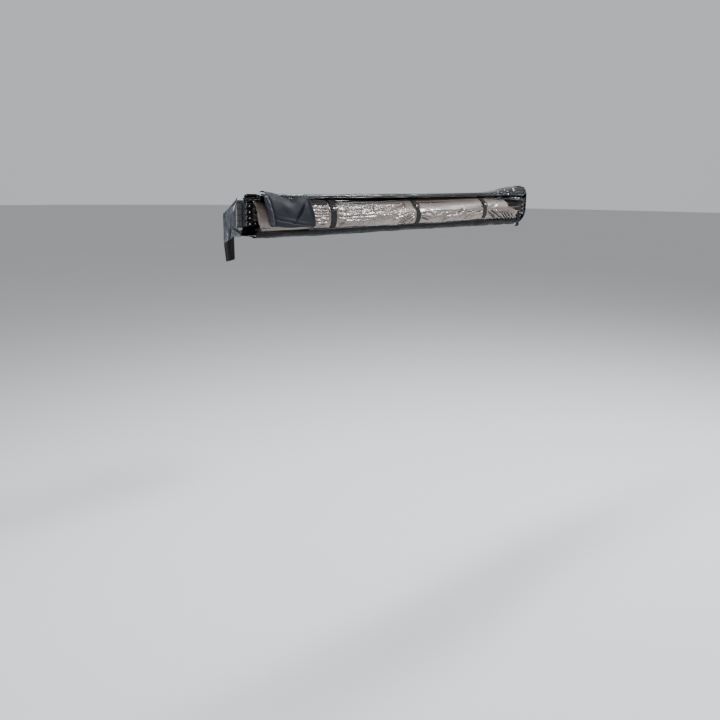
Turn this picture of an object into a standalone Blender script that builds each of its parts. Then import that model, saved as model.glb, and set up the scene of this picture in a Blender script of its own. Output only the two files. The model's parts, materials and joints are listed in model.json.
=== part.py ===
"""A folding side awning for a vehicle, packed against its backing rail.

Four channel arms lie one above another and swing on one upright bolt at the rear end of the rail.
Each arm carries a telescopic leg in its channel, hinged at the arm's tip. The canopy is folded
beside the arms and wrapped over them, and three straps hold the bundle in its opened bag.

+X runs along the rail from the hinge to the arm tips, +Y points to the vehicle, and +Z is up.
The origin is on the underside of the middle mounting bracket's foot. Sizes are in metres.
"""

import math

import bmesh
import bpy
from mathutils import Vector

# Clearances
GAP = 0.0003
ROOM = 0.0005

# Backing rail, an extrusion with two T-slots behind and a rope groove at each edge
RAIL_LENGTH = 2.380
RAIL_HEIGHT = 0.172
RAIL_DEPTH = 0.016
RAIL_WEB = 0.003
RAIL_START = 0.034
RAIL_LIFT = 0.005
SLOT_FROM_EDGE = 0.044
SLOT_MOUTH = 0.009
SLOT_INSIDE = 0.018
SLOT_LIP = 0.003
SLOT_FLOOR = 0.011
SLOT_WALL = 0.004
EDGE_BAND = 0.017
EDGE_STEP = 0.004
ROPE_GROOVE_R = 0.0035
ROPE_GROOVE_MOUTH = 0.0034

# Mounting brackets
BRACKET_FOOT = 0.070
BRACKET_WIDTH = 0.060
BRACKET_HEIGHT = 0.160
BRACKET_PLATE = 0.005
BRACKET_BEND_R = 0.009
BRACKET_FROM_END = 0.280
FOOT_SLOT_WIDTH = 0.009
FOOT_SLOT_LENGTH = 0.028
FOOT_SLOT_SPACING = 0.032
BOLT_R = 0.004
T_HEAD = 0.0168
T_HEAD_THICK = 0.006
NUT_R = 0.0075
NUT_THICK = 0.0065
T_BOLT_BEYOND_NUT = 0.004

# Hinge bracket and pivot
PIVOT_OUT = 0.072
ARM_PITCH = 0.028
STACK_BASE = 0.055
ARMS = 4
LUG = 0.0024
END_LUG = 0.005
LUG_NOSE_R = 0.019
LUG_FOOT_LENGTH = 0.062
WEB_LENGTH = 0.090
WEB_THICK = 0.004
WEB_BOTTOM = 0.014
PIVOT_R = 0.006
SLEEVE_R = 0.008
PIVOT_NUT_R = 0.0105
PIVOT_NUT_THICK = 0.009
WASHER_R = 0.013
WASHER_THICK = 0.002
PIVOT_TAIL = 0.004
WEB_BOLT_HEAD_R = 0.007
WEB_BOLT_HEAD = 0.004
WEB_BOLTS_X = (0.052, 0.108)
WEB_BOLTS_Z = (0.0698, 0.097)

# Arms
ARM_REACH = 2.405
ARM_START = 0.022
ARM_WIDTH = 0.036
ARM_HEIGHT = 0.024
ARM_WALL = 0.002
ARM_LIFT = 0.002
TRACK_OUT = 0.006
TRACK_HEIGHT = 0.008
TRACK_GROOVE_R = 0.0022
TRACK_MOUTH = 0.0022
BARREL_R = 0.014
TONGUE_END = 0.095
TONGUE_HEIGHT = 0.0185
RIVETS_X = (0.046, 0.080)
RIVET_R = 0.003
RIVET_HEAD_R = 0.005
RIVET_HEAD = 0.0016
TIP_PLATE = 0.008
CHEEK = 0.003
CHEEK_LENGTH = 0.042

# Legs, whose length is measured from their pin
LEG_PIN_FROM_TIP = 0.020
LEG_Z = 0.0125
LEG_R = 0.010
LEG_WALL = 0.0015
LEG_OUTER_END = 1.140
LEG_PLUG_BACK = 0.026
INNER_START = 0.150
INNER_WALL = 0.0014
INNER_END = 1.186
COLLAR_R = 0.0112
COLLAR_START = 1.112
COLLAR_END = 1.166
COLLAR_GRIPS = 9
COLLAR_GRIP_DEEP = 0.0007
FOOT_R = 0.0112
FOOT_START = 1.172
FOOT_END = 1.214

# Canopy
CLOTH = 0.002
FOLDS_START = 0.066
CANOPY_START = 0.130
CANOPY_FROM_TIP = 0.020
FOLD_REACH = 0.046
FOLD_REACH_LEAST = 0.006
FOLD_LAYERS = 4
FOLD_TRIM = 3.0
WRAP_START = 0.055
WRAP_END = 2.220
WRAP_OUT = 0.083
WRAP_BOTTOM = 0.016
WRAP_CORNER_R = 0.020
WRAP_FOLDS = 3
WRAP_FOLD_DEEP = 0.005
WRAP_UNDER = 0.055
WRAP_LEANS = ((0.35, 2.4), (0.15, 7.1))
WRAP_SHARPNESS = 4

# Bag
PVC = 0.002
ROLL_START = 0.030
ROLL_END = 2.330
ROLL_HEIGHT = 0.0243
ROLL_SWELL = 0.039
ROLL_SWELL_AT = 2.290
ROLL_SWELL_REACH = 0.153
ROLL_DEPTH = 0.112
ROLL_OUT = 0.010
ROLL_RIPPLES = ((0.0012, 3.1, 0.6), (0.0008, 8.3, 0.0))
COVER_SQUARENESS = (0.7, 0.8)
APRON_START = 0.050
APRON_END = 2.280
APRON_TOP = 0.050
APRON_DROP = 0.030
APRON_WAVE = 0.003
APRON_WAVES = 5.2
SLING_START = 0.045
SLING_END = 2.230
SLING_TOP = 0.0125
SLING_THICK = 0.016
SLING_DEPTH = 0.118
SLING_SAG = 0.0015
SLING_SAGS = 6.0
CAP_WALL = 0.003
CAP_REACH = 0.023
CAP_TOP = 0.222
CAP_CORNER_R = 0.030
CAP_LOW_R = 0.070
HOOD_KNEE = 0.6
TAIL_WIDTH = 0.074
TAIL_TURN = 55.0
TAIL_LENGTH = 0.300
TAIL_SLOPE = 0.080
TAIL_WAVE = 0.007
TAIL_WAVE_LAG = 3.0
TAIL_FALL_POWER = 0.8
TAIL_HEM_SHARE = 0.8

# Straps
STRAPS_X = (0.536, 1.208, 1.851)
STRAP_WIDTH = 0.038
STRAP = 0.002
STRAP_UNDER = 0.135
BUCKLE_Z = 0.134
BUCKLE_LENGTH = 0.032
BUCKLE_WIDTH = 0.048
BUCKLE = 0.007
BUCKLE_BAR = 0.005

# Hinge cover flap
FLAP_TOP_X = (0.083, 0.366)
FLAP_BOTTOM_X = (0.140, 0.412)
FLAP_CORNER_R = 0.022
FLAP_SWELL = 0.004
FLAP_REACH = 0.042
FLAP_LENGTH = 0.166
FLAP_HEM_R = 0.012
FLAP_HEM = ((0.10, 0.45), (0.18, 0.9), (0.5, 1.0), (0.92, 0.9), (1.0, 0.6))
TAB_FROM_FLAP = 0.017
TAB_LENGTH = 0.102
TAB_HEIGHT = 0.024
TAB_DROP = 0.014

# Places that follow from the sizes
RAIL_BACK = -BRACKET_FOOT / 2
RAIL_FRONT = RAIL_BACK - RAIL_DEPTH
RAIL_TOP = RAIL_LIFT + RAIL_HEIGHT
PIVOT_X = -(RAIL_START + RAIL_LENGTH / 2)
PIVOT_Y = RAIL_BACK - PIVOT_OUT
STACK_TOP = STACK_BASE + ARMS * ARM_PITCH
WEB_FRONT = RAIL_FRONT - GAP - WEB_THICK
WEB_TOP = STACK_TOP + END_LUG / 2
SLOTS_Z = (RAIL_LIFT + SLOT_FROM_EDGE, RAIL_TOP - SLOT_FROM_EDGE)
BRACKETS_X = (RAIL_START + BRACKET_FROM_END, RAIL_START + RAIL_LENGTH / 2,
              RAIL_START + RAIL_LENGTH - BRACKET_FROM_END)
TRACK_Y = -ARM_WIDTH / 2 - TRACK_OUT
TRACK_Z = ARM_LIFT + ARM_HEIGHT - TRACK_HEIGHT / 2
LEG_PIN_X = ARM_REACH - LEG_PIN_FROM_TIP
ARMS_TOP = STACK_TOP - ARM_PITCH + ARM_LIFT + ARM_HEIGHT
CANOPY_END = ARM_REACH - CANOPY_FROM_TIP
LEG_INNER_R = LEG_R - LEG_WALL - GAP
EYE_HALF = ARM_WIDTH / 2 - ARM_WALL - CHEEK - GAP - ROOM
FOLD_FRONT = PIVOT_Y + TRACK_Y - GAP - CLOTH / 2
WRAP_FRONT = PIVOT_Y - WRAP_OUT
WRAP_Z = RAIL_TOP
APRON_Z = WRAP_Z + CLOTH / 2 + ROOM + PVC / 2
APRON_FRONT = WRAP_FRONT - CLOTH / 2 - ROOM - PVC / 2
STRAP_Z = APRON_Z + PVC / 2 + ROOM + STRAP / 2
STRAP_FRONT = APRON_FRONT - PVC / 2 - ROOM - STRAP / 2
ROLL_Z = STRAP_Z + STRAP / 2 + GAP
SLING_BOTTOM = SLING_TOP - SLING_THICK


def finished(bm, name):
    """A mesh from a bmesh, with its faces pointing out and its round parts shaded smooth."""
    bmesh.ops.recalc_face_normals(bm, faces=bm.faces)
    mesh = bpy.data.meshes.new(name)
    bm.to_mesh(mesh)
    bm.free()
    mesh.shade_smooth()
    mesh.set_sharp_from_angle(angle=math.radians(32))
    return mesh


def place(axis, a, b, along):
    """A point from its two places across an axis, in X, Y, Z order, and its place along it."""
    return {"x": (along, a, b), "y": (a, along, b), "z": (a, b, along)}[axis]


def loft(name, rings):
    """A closed body through rings with the same number of points, capped at both ends."""
    bm = bmesh.new()
    rows = [[bm.verts.new(point) for point in ring] for ring in rings]
    for row, after in zip(rows, rows[1:]):
        for i in range(len(row)):
            j = (i + 1) % len(row)
            bm.faces.new((row[i], row[j], after[j], after[i]))
    bm.faces.new(rows[0])
    bm.faces.new(rows[-1])
    return finished(bm, name)


def prism(name, outline, axis, start, end):
    """An outline, as pairs of places across the axis, drawn along the axis."""
    return loft(name, [[place(axis, a, b, at) for a, b in outline] for at in (start, end)])


def block(name, x, y, z):
    """A box between pairs of places."""
    return prism(name, [(x[0], y[0]), (x[1], y[0]), (x[1], y[1]), (x[0], y[1])], "z", *z)


def turned(name, profile, axis, segments, centre=(0, 0)):
    """A profile of (radius, place along the axis) points turned about an axis."""
    bm = bmesh.new()
    rows = []
    for n in range(segments):
        angle = math.tau * (n + 0.5) / segments
        rows.append([bm.verts.new(place(axis, centre[0] + r * math.cos(angle),
                                        centre[1] + r * math.sin(angle), at))
                     for r, at in profile])
    for row, after in zip(rows, rows[1:] + rows[:1]):
        for i in range(len(profile)):
            j = (i + 1) % len(profile)
            if profile[i][0] > 0 or profile[j][0] > 0:
                bm.faces.new((row[i], row[j], after[j], after[i]))
    bmesh.ops.remove_doubles(bm, verts=bm.verts, dist=1e-7)
    return finished(bm, name)


def rod(name, r, axis, start, end, segments=12, centre=(0, 0)):
    """A plain round bar."""
    return turned(name, [(0, start), (r, start), (r, end), (0, end)], axis, segments, centre)


def tube(name, r, bore, axis, start, end, segments=16, centre=(0, 0)):
    """A round tube, open at both ends."""
    return turned(name, [(bore, start), (r, start), (r, end), (bore, end)], axis, segments, centre)


def combined(base, others, operation):
    """A mesh joined with others, or cut by them. The others are used up."""
    name = base.name
    stock = bpy.data.objects.new(name, base)
    bpy.context.scene.collection.objects.link(stock)
    tools = []
    for mesh in others:
        tool = bpy.data.objects.new(mesh.name, mesh)
        bpy.context.scene.collection.objects.link(tool)
        step = stock.modifiers.new(operation, "BOOLEAN")
        step.operation = operation
        step.solver = "EXACT"
        step.object = tool
        tools.append(tool)
    depsgraph = bpy.context.evaluated_depsgraph_get()
    mesh = bpy.data.meshes.new_from_object(stock.evaluated_get(depsgraph))
    for used in [stock, *tools]:
        data = used.data
        bpy.data.objects.remove(used)
        bpy.data.meshes.remove(data)
    mesh.name = name
    mesh.shade_smooth()
    mesh.set_sharp_from_angle(angle=math.radians(32))
    return mesh


def union(base, *others):
    return combined(base, others, "UNION")


def cut(base, *others):
    return combined(base, others, "DIFFERENCE")


def arc(centre, r, start, end, steps):
    """Points on an arc between two angles in degrees."""
    angles = [math.radians(start + (end - start) * i / steps) for i in range(steps + 1)]
    return [(centre[0] + r * math.cos(a), centre[1] + r * math.sin(a)) for a in angles]


def ribbon(path, thick):
    """The closed outline of a strip of even thickness along an open path."""
    sides = ([], [])
    for i, point in enumerate(path):
        before = Vector(path[max(i - 1, 0)])
        after = Vector(path[min(i + 1, len(path) - 1)])
        here = Vector(point)
        into = (here - before).normalized() if i else (after - here).normalized()
        onto = (after - here).normalized() if i < len(path) - 1 else into
        across = Vector((-into.y - onto.y, into.x + onto.x)).normalized()
        half = thick / 2 / max(across.dot(Vector((-into.y, into.x))), 0.5)
        sides[0].append(tuple(here + across * half))
        sides[1].append(tuple(here - across * half))
    return sides[0] + sides[1][::-1]


def material(name, colour, roughness, metallic=0.0):
    made = bpy.data.materials.new(name)
    made.use_nodes = True
    shader = made.node_tree.nodes["Principled BSDF"]
    shader.inputs["Base Color"].default_value = (*colour, 1.0)
    shader.inputs["Roughness"].default_value = roughness
    shader.inputs["Metallic"].default_value = metallic
    made.diffuse_color = (*colour, 1.0)
    return made


def empty(name, location, parent=None):
    """A joint's place, which carries the pieces that turn or slide about it."""
    made = bpy.data.objects.new(name, None)
    made.empty_display_size = 0.05
    made.location = location
    made.parent = parent
    bpy.context.scene.collection.objects.link(made)
    return made


def add(name, mesh, finish, parent=None, location=(0, 0, 0)):
    """One named piece with its own mesh, or sharing the mesh of its repeats."""
    made = bpy.data.objects.new(name, mesh)
    made.location = location
    made.parent = parent
    if not mesh.materials:
        mesh.materials.append(finish)
    bpy.context.scene.collection.objects.link(made)
    return made


def groove(centre, r, mouth, open_y, steps=7):
    """A rope groove's outline in the Y and Z plane, open towards -Y at open_y, from its top down."""
    half = math.degrees(math.asin(mouth / 2 / r))
    inside = arc(centre, r, 180 - half, -180 + half, steps)
    return ([(open_y, centre[1] + mouth / 2)] + inside + [(open_y, centre[1] - mouth / 2)])


def t_slot(z):
    """The outline of one T-slot box behind the rail's web, from below upwards."""
    box = SLOT_INSIDE / 2 + SLOT_WALL
    web = RAIL_FRONT + RAIL_WEB
    lip, floor = RAIL_BACK - SLOT_LIP, RAIL_BACK - SLOT_FLOOR
    half = [(web, box), (RAIL_BACK, box), (RAIL_BACK, SLOT_MOUTH / 2), (lip, SLOT_MOUTH / 2),
            (lip, SLOT_INSIDE / 2), (floor, SLOT_INSIDE / 2)]
    return [(y, z - dz) for y, dz in half] + [(y, z + dz) for y, dz in reversed(half)]


def backing_rail(finish):
    """The full-length extrusion that everything hangs on."""
    web, band = RAIL_FRONT + RAIL_WEB, RAIL_BACK - EDGE_STEP
    groove_y = RAIL_FRONT + ROPE_GROOVE_R + ROOM * 4
    back = [(band, RAIL_LIFT), (band, RAIL_LIFT + EDGE_BAND), (web, RAIL_LIFT + EDGE_BAND)]
    back += t_slot(SLOTS_Z[0]) + t_slot(SLOTS_Z[1])
    back += [(web, RAIL_TOP - EDGE_BAND), (band, RAIL_TOP - EDGE_BAND), (band, RAIL_TOP)]
    front = [(RAIL_FRONT, RAIL_TOP)]
    for z in (RAIL_TOP - EDGE_BAND / 2, RAIL_LIFT + EDGE_BAND / 2):
        front += groove((groove_y, z), ROPE_GROOVE_R, ROPE_GROOVE_MOUTH, RAIL_FRONT)
    front += [(RAIL_FRONT, RAIL_LIFT)]
    rail = prism("backing_rail", back + front, "x", RAIL_START, RAIL_START + RAIL_LENGTH)
    holes = [rod("hole", BOLT_R + GAP, "y", RAIL_FRONT - 0.01, RAIL_BACK, 12, (x, z))
             for x in WEB_BOLTS_X for z in WEB_BOLTS_Z]
    add("backing_rail", cut(rail, *holes), finish, location=(PIVOT_X, 0, 0))


def hexagon(r, centre=(0, 0)):
    return arc(centre, r, 0, 300, 5)


def t_bolt(z):
    """A T-headed bolt in one of the rail's slots, with its nut on the bracket."""
    half = T_HEAD / 2
    under = RAIL_BACK - SLOT_LIP - GAP
    face = RAIL_BACK + GAP + BRACKET_PLATE
    return [block("head", (-half, half), (under - T_HEAD_THICK, under), (z - half, z + half)),
            rod("shank", BOLT_R, "y", under - T_HEAD_THICK / 2,
                face + NUT_THICK + T_BOLT_BEYOND_NUT, 12, (0, z)),
            prism("nut", hexagon(NUT_R, (0, z)), "y", face - ROOM, face + NUT_THICK)]


def mounting_brackets(finish):
    """Three bent feet behind the rail, which stand on the rack's bars, with their bolts."""
    near, far = RAIL_BACK + GAP, RAIL_BACK + BRACKET_FOOT
    bend = (near + BRACKET_BEND_R, BRACKET_BEND_R)
    inner = BRACKET_BEND_R - BRACKET_PLATE
    outline = [(far, 0), (far, BRACKET_PLATE)]
    outline += arc(bend, inner, 270, 180, 4)
    outline += [(near + BRACKET_PLATE, BRACKET_HEIGHT), (near, BRACKET_HEIGHT)]
    outline += arc(bend, BRACKET_BEND_R, 180, 270, 4)
    plate = prism("mount_bracket", outline, "x", -BRACKET_WIDTH / 2, BRACKET_WIDTH / 2)
    run = (FOOT_SLOT_LENGTH - FOOT_SLOT_WIDTH) / 2
    middle = (near + far) / 2 + BRACKET_BEND_R / 2
    slots = []
    for x in (-FOOT_SLOT_SPACING / 2, FOOT_SLOT_SPACING / 2):
        slot = arc((x, middle + run), FOOT_SLOT_WIDTH / 2, 0, 180, 6)
        slot += arc((x, middle - run), FOOT_SLOT_WIDTH / 2, 180, 360, 6)
        slots.append(prism("slot", slot, "z", -BRACKET_PLATE, 2 * BRACKET_PLATE))
    mesh = union(cut(plate, *slots), *t_bolt(SLOTS_Z[0]), *t_bolt(SLOTS_Z[1]))
    for number, x in enumerate(BRACKETS_X, 1):
        add(f"mount_bracket_{number}", mesh, finish, location=(PIVOT_X + x, 0, 0))


def lug_outline():
    """One lug seen from above, about the pivot: a round nose that widens to its foot on the web."""
    foot = WEB_FRONT - PIVOT_Y + WEB_THICK / 2
    left, right = RAIL_START, RAIL_START + LUG_FOOT_LENGTH
    turns = [math.degrees(math.atan2(foot, x) + side * math.acos(LUG_NOSE_R / math.hypot(x, foot)))
             for x, side in ((left, 1), (right, -1))]
    return [(right, foot), (left, foot)] + arc((0, 0), LUG_NOSE_R, turns[0], turns[1] + 360, 10)


def web_bolt(x, z):
    """A bolt through the hinge bracket and the rail's web, with its nut behind."""
    outer = WEB_FRONT + ROOM
    inner = RAIL_FRONT + RAIL_WEB + GAP
    profile = [(0, WEB_FRONT - WEB_BOLT_HEAD), (WEB_BOLT_HEAD_R * 0.6, WEB_FRONT - WEB_BOLT_HEAD),
               (WEB_BOLT_HEAD_R, WEB_FRONT - WEB_BOLT_HEAD / 3), (WEB_BOLT_HEAD_R, outer),
               (BOLT_R, outer), (BOLT_R, inner + NUT_THICK + ROOM), (0, inner + NUT_THICK + ROOM)]
    return [turned("bolt", profile, "y", 12, (x, z)),
            prism("nut", hexagon(WEB_BOLT_HEAD_R, (x, z)), "y", inner, inner + NUT_THICK)]


def hinge_bracket(finish):
    """The steel bracket on the rail's rear end, with a lug below, between and above the arms."""
    web = block("hinge_bracket", (RAIL_START, RAIL_START + WEB_LENGTH),
                (WEB_FRONT, WEB_FRONT + WEB_THICK), (WEB_BOTTOM, WEB_TOP))
    solids = []
    for level in range(ARMS + 1):
        z = STACK_BASE + level * ARM_PITCH
        below = END_LUG - LUG / 2 if level == 0 else LUG / 2
        above = END_LUG - LUG / 2 if level == ARMS else LUG / 2
        outline = [(x, y + PIVOT_Y) for x, y in lug_outline()]
        solids.append(prism("lug", outline, "z", z - below, z + above))
    for x in WEB_BOLTS_X:
        for z in WEB_BOLTS_Z:
            solids += web_bolt(x, z)
    bolt_hole = rod("bore", PIVOT_R + GAP, "z", 0, RAIL_TOP + END_LUG, 16, (0, PIVOT_Y))
    sleeve_hole = rod("bore", SLEEVE_R + GAP, "z", STACK_BASE + ARM_PITCH / 2,
                      STACK_TOP - ARM_PITCH / 2, 16, (0, PIVOT_Y))
    mesh = cut(union(web, *solids), bolt_hole, sleeve_hole)
    add("hinge_bracket", mesh, finish, location=(PIVOT_X, 0, 0))


def pivot(bolt_finish, sleeve_finish):
    """The upright bolt that all four arms share, its nut and the sleeve that they turn on."""
    top = STACK_TOP - LUG / 2 + END_LUG + GAP
    bottom = STACK_BASE + LUG / 2 - END_LUG - GAP
    nut_bottom = bottom - WASHER_THICK - PIVOT_NUT_THICK
    tail = nut_bottom - PIVOT_TAIL
    washer_top = top + WASHER_THICK
    shank = turned("pivot_bolt", [(0, tail), (PIVOT_R * 0.8, tail), (PIVOT_R, tail + PIVOT_R * 0.2),
                                  (PIVOT_R, top), (WASHER_R, top), (WASHER_R, washer_top),
                                  (0, washer_top)], "z", 16)
    head = prism("head", hexagon(PIVOT_NUT_R), "z", top + WASHER_THICK / 2,
                 washer_top + PIVOT_NUT_THICK * 0.8)
    at = (PIVOT_X, PIVOT_Y, 0)
    add("pivot_bolt", union(shank, head), bolt_finish, location=at)
    washer = rod("pivot_nut", WASHER_R, "z", bottom - WASHER_THICK, bottom, 16)
    body = prism("body", hexagon(PIVOT_NUT_R), "z", nut_bottom, bottom - WASHER_THICK / 2)
    bore = rod("bore", PIVOT_R + GAP, "z", tail, top, 16)
    add("pivot_nut", cut(union(washer, body), bore), bolt_finish, location=at)
    sleeve = tube("pivot_sleeve", SLEEVE_R, PIVOT_R + GAP, "z", STACK_BASE + LUG / 2 + GAP,
                  STACK_TOP - LUG / 2 - GAP)
    add("pivot_sleeve", sleeve, sleeve_finish, location=at)


def arm_outline(hollow):
    """An arm's section: an upturned channel with a rope track at its upper outboard edge."""
    half, low, top = ARM_WIDTH / 2, ARM_LIFT, ARM_LIFT + ARM_HEIGHT
    outline = [(half, low), (half, top), (TRACK_Y, top)]
    if hollow:
        centre = (TRACK_Y + TRACK_GROOVE_R + ROOM * 2, TRACK_Z)
        outline += groove(centre, TRACK_GROOVE_R, TRACK_MOUTH, TRACK_Y, 5)
    outline += [(TRACK_Y, top - TRACK_HEIGHT), (-half, top - TRACK_HEIGHT), (-half, low)]
    if hollow:
        inside, under = half - ARM_WALL, top - ARM_WALL
        outline += [(-inside, low), (-inside, under), (inside, under), (inside, low)]
    return outline


def cross_holes(places, r, reach):
    """Round cutters across an arm."""
    return [rod("hole", r, "y", -reach, reach, 12, (x, LEG_Z)) for x in places]


def cross_pin(name, x):
    """A headed pin across an arm, through both walls of its channel."""
    wall = ARM_WIDTH / 2 + GAP
    half = [(0, wall + RIVET_HEAD), (RIVET_HEAD_R * 0.7, wall + RIVET_HEAD),
            (RIVET_HEAD_R, wall + RIVET_HEAD * 0.4), (RIVET_HEAD_R, wall), (RIVET_R, wall)]
    profile = half + [(r, -at) for r, at in reversed(half)]
    return turned(name, profile, "y", 12, (x, LEG_Z))


def channel_mesh():
    end = ARM_REACH - TIP_PLATE - GAP
    bar = prism("arm_channel", arm_outline(True), "x", ARM_START, end)
    return cut(bar, *cross_holes((*RIVETS_X, LEG_PIN_X), RIVET_R + GAP, ARM_WIDTH))


def knuckle_mesh():
    """The cast end that turns on the pivot, with a tongue riveted into the channel."""
    low, high = LUG / 2 + GAP, ARM_PITCH - LUG / 2 - GAP
    barrel = rod("arm_knuckle", BARREL_R, "z", low, high, 20)
    face, half = ARM_START - GAP, ARM_WIDTH / 2
    root = BARREL_R * 0.3
    shoulder = prism("shoulder", [(root, -BARREL_R * 0.93), (face, -half), (face, half),
                                  (root, BARREL_R * 0.93)], "z", ARM_LIFT, ARM_LIFT + ARM_HEIGHT)
    side = half - ARM_WALL - GAP
    top = ARM_LIFT + ARM_HEIGHT - ARM_WALL - GAP
    tongue = block("tongue", (root, TONGUE_END), (-side, side), (top - TONGUE_HEIGHT, top))
    bore = rod("bore", SLEEVE_R + GAP, "z", 0, ARM_PITCH, 16)
    return union(cut(union(barrel, shoulder, tongue), bore), *(cross_pin("rivet", x) for x in RIVETS_X))


def tip_mesh():
    """The cap on an arm's end, with two cheeks in the channel that hold the leg's pin."""
    back, middle = ARM_REACH - TIP_PLATE, ARM_LIFT + ARM_HEIGHT / 2
    outline = arm_outline(False)
    near = [(y * 0.93, middle + (z - middle) * 0.9) for y, z in outline]
    rings = [[(back, y, z) for y, z in outline],
             [(ARM_REACH - TIP_PLATE * 0.25, y, z) for y, z in outline],
             [(ARM_REACH, y, z) for y, z in near]]
    outer = ARM_WIDTH / 2 - ARM_WALL - GAP
    top = ARM_LIFT + ARM_HEIGHT - ARM_WALL - GAP
    cheeks = [block("cheek", (ARM_REACH - CHEEK_LENGTH, back + TIP_PLATE / 2),
                    sorted((side * outer, side * (outer - CHEEK))), (ARM_LIFT + GAP, top))
              for side in (-1, 1)]
    return cut(union(loft("arm_tip", rings), *cheeks),
               *cross_holes((LEG_PIN_X,), RIVET_R + GAP, ARM_WIDTH))


def leg_outer_mesh():
    """The upper leg tube, closed by a cross barrel that turns on the pin."""
    barrel_r = LEG_R * 0.85
    sleeve = tube("leg_outer", LEG_R, LEG_R - LEG_WALL, "x", -LEG_OUTER_END, -LEG_PLUG_BACK)
    plug = rod("plug", LEG_R, "x", -LEG_PLUG_BACK - LEG_R * 0.5, -LEG_PLUG_BACK + LEG_R * 0.4, 16)
    neck = block("neck", (-LEG_PLUG_BACK, 0), (-LEG_R * 0.8, LEG_R * 0.8),
                 (-LEG_R * 0.7, LEG_R * 0.7))
    barrel = rod("barrel", barrel_r, "y", -EYE_HALF, EYE_HALF, 16)
    bore = rod("bore", RIVET_R + GAP, "y", -ARM_WIDTH, ARM_WIDTH, 12)
    return cut(union(sleeve, plug, neck, barrel), bore)


def leg_inner_mesh():
    return tube("leg_inner", LEG_INNER_R, LEG_INNER_R - INNER_WALL, "x", -INNER_END, -INNER_START)


def collar_mesh():
    """The twist lock: a gripped collar over the end of the outer tube."""
    length = COLLAR_END - COLLAR_START
    rings = []
    for share, r in ((0, 0.90), (0.08, 1.0), (0.55, 1.0), (0.62, 0.95), (0.92, 0.95), (1, 0.86)):
        ring = []
        for n in range(2 * COLLAR_GRIPS):
            deep = COLLAR_GRIP_DEEP if n % 2 and share < 0.6 else 0
            angle = math.tau * n / 2 / COLLAR_GRIPS
            out = COLLAR_R * r - deep
            ring.append((-COLLAR_START - length * share, out * math.cos(angle),
                         out * math.sin(angle)))
        rings.append(ring)
    wide = rod("wide", LEG_R + GAP, "x", -LEG_OUTER_END - GAP, 0, 16)
    bore = rod("bore", LEG_INNER_R + GAP, "x", -INNER_END, 0, 16)
    return cut(loft("leg_collar", rings), wide, bore)


def foot_mesh():
    """The cap that the leg stands on."""
    bore, floor = LEG_INNER_R + GAP, INNER_END + GAP
    waist = FOOT_R * 0.9
    profile = [(0, -FOOT_END), (FOOT_R * 0.8, -FOOT_END), (FOOT_R, -FOOT_END + FOOT_R * 0.25),
               (FOOT_R, -FOOT_END + FOOT_R * 0.7), (waist, -FOOT_END + FOOT_R), (waist, -FOOT_START),
               (bore, -FOOT_START), (bore, -floor), (0, -floor)]
    return turned("leg_foot", profile, "x", 16)


def arms(finishes):
    """The four arms on the pivot, each with its leg, from the top of the stack down."""
    meshes = {"channel": channel_mesh(), "knuckle": knuckle_mesh(),
              "leg_pin": cross_pin("arm_leg_pin", LEG_PIN_X), "tip": tip_mesh(), "outer": leg_outer_mesh(), "inner": leg_inner_mesh(),
              "collar": collar_mesh(), "foot": foot_mesh()}
    for number in range(1, ARMS + 1):
        level = ARMS - number
        base = (PIVOT_X, PIVOT_Y, STACK_BASE + level * ARM_PITCH)
        swing = empty(f"arm_{number}_swing", base)
        fold = empty(f"leg_{number}_fold", (LEG_PIN_X, 0, LEG_Z), swing)
        for piece in ("channel", "knuckle", "leg_pin", "tip"):
            add(f"arm_{number}_{piece}", meshes[piece], finishes[piece], swing)
        for piece in ("outer", "collar", "inner", "foot"):
            add(f"leg_{number}_{piece}", meshes[piece], finishes[piece], fold)


def along(start, end, steps):
    return [start + (end - start) * i / steps for i in range(steps + 1)]


def soft(name, rings, finish, trim=0.0):
    """A soft piece through sections given as (x, outline) pairs, x being measured from the pivot.

    The last section stands back by trim for each metre that a point lies outboard of the folds' root.
    """
    last = rings[-1][0]
    mesh = loft(name, [[(x - (trim * max(FOLD_FRONT - y, 0) if x == last else 0), y, z)
                        for y, z in outline] for x, outline in rings])
    return add(name, mesh, finish, location=(PIVOT_X, 0, 0))


def fold_reach(x):
    """How far the folds stand out beside the arms: the cloth is a fan, so it grows with radius."""
    return max(FOLD_REACH * x / CANOPY_END, FOLD_REACH_LEAST)


def canopy(finish):
    """The four panels, folded over and beside the arms that they join."""
    upper = ARMS_TOP + CLOTH * 2.75
    lower = ARMS_TOP + CLOTH * 0.75
    rings = []
    for x in along(CANOPY_START, CANOPY_END, 6):
        out = FOLD_FRONT - fold_reach(x)
        path = [(RAIL_FRONT - CLOTH, upper), (out, upper), (out, lower),
                (PIVOT_Y - ARM_WIDTH / 2, lower)]
        rings.append((x, ribbon(path, CLOTH)))
    soft("canopy_panel_1", rings, finish, FOLD_TRIM)
    pitch = ARM_PITCH / FOLD_LAYERS
    for number in range(2, ARMS + 1):
        top = ARMS_TOP - (number - 2) * ARM_PITCH
        rings = []
        for x in along(FOLDS_START, CANOPY_END, 7):
            sides = (FOLD_FRONT, FOLD_FRONT - fold_reach(x))
            path = [(FOLD_FRONT + CLOTH / 2, top - pitch / 2)]
            for layer in range(FOLD_LAYERS):
                z = top - pitch * (layer + 0.5)
                path += [(sides[layer % 2], z), (sides[1 - layer % 2], z)]
            del path[1]
            rings.append((x, ribbon(path, CLOTH)))
        soft(f"canopy_panel_{number}", rings, finish, FOLD_TRIM)


def around(front, top, bottom, corner, inboard, under, face=()):
    """A path over the bundle's top, down its outboard face and in under it."""
    path = [(inboard, top)]
    path += arc((front + corner, top - corner), corner, 90, 180, 4)
    path += face
    path += arc((front + corner, bottom + corner), corner, 180, 270, 4)
    return path + [(front + under, bottom)]


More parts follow.
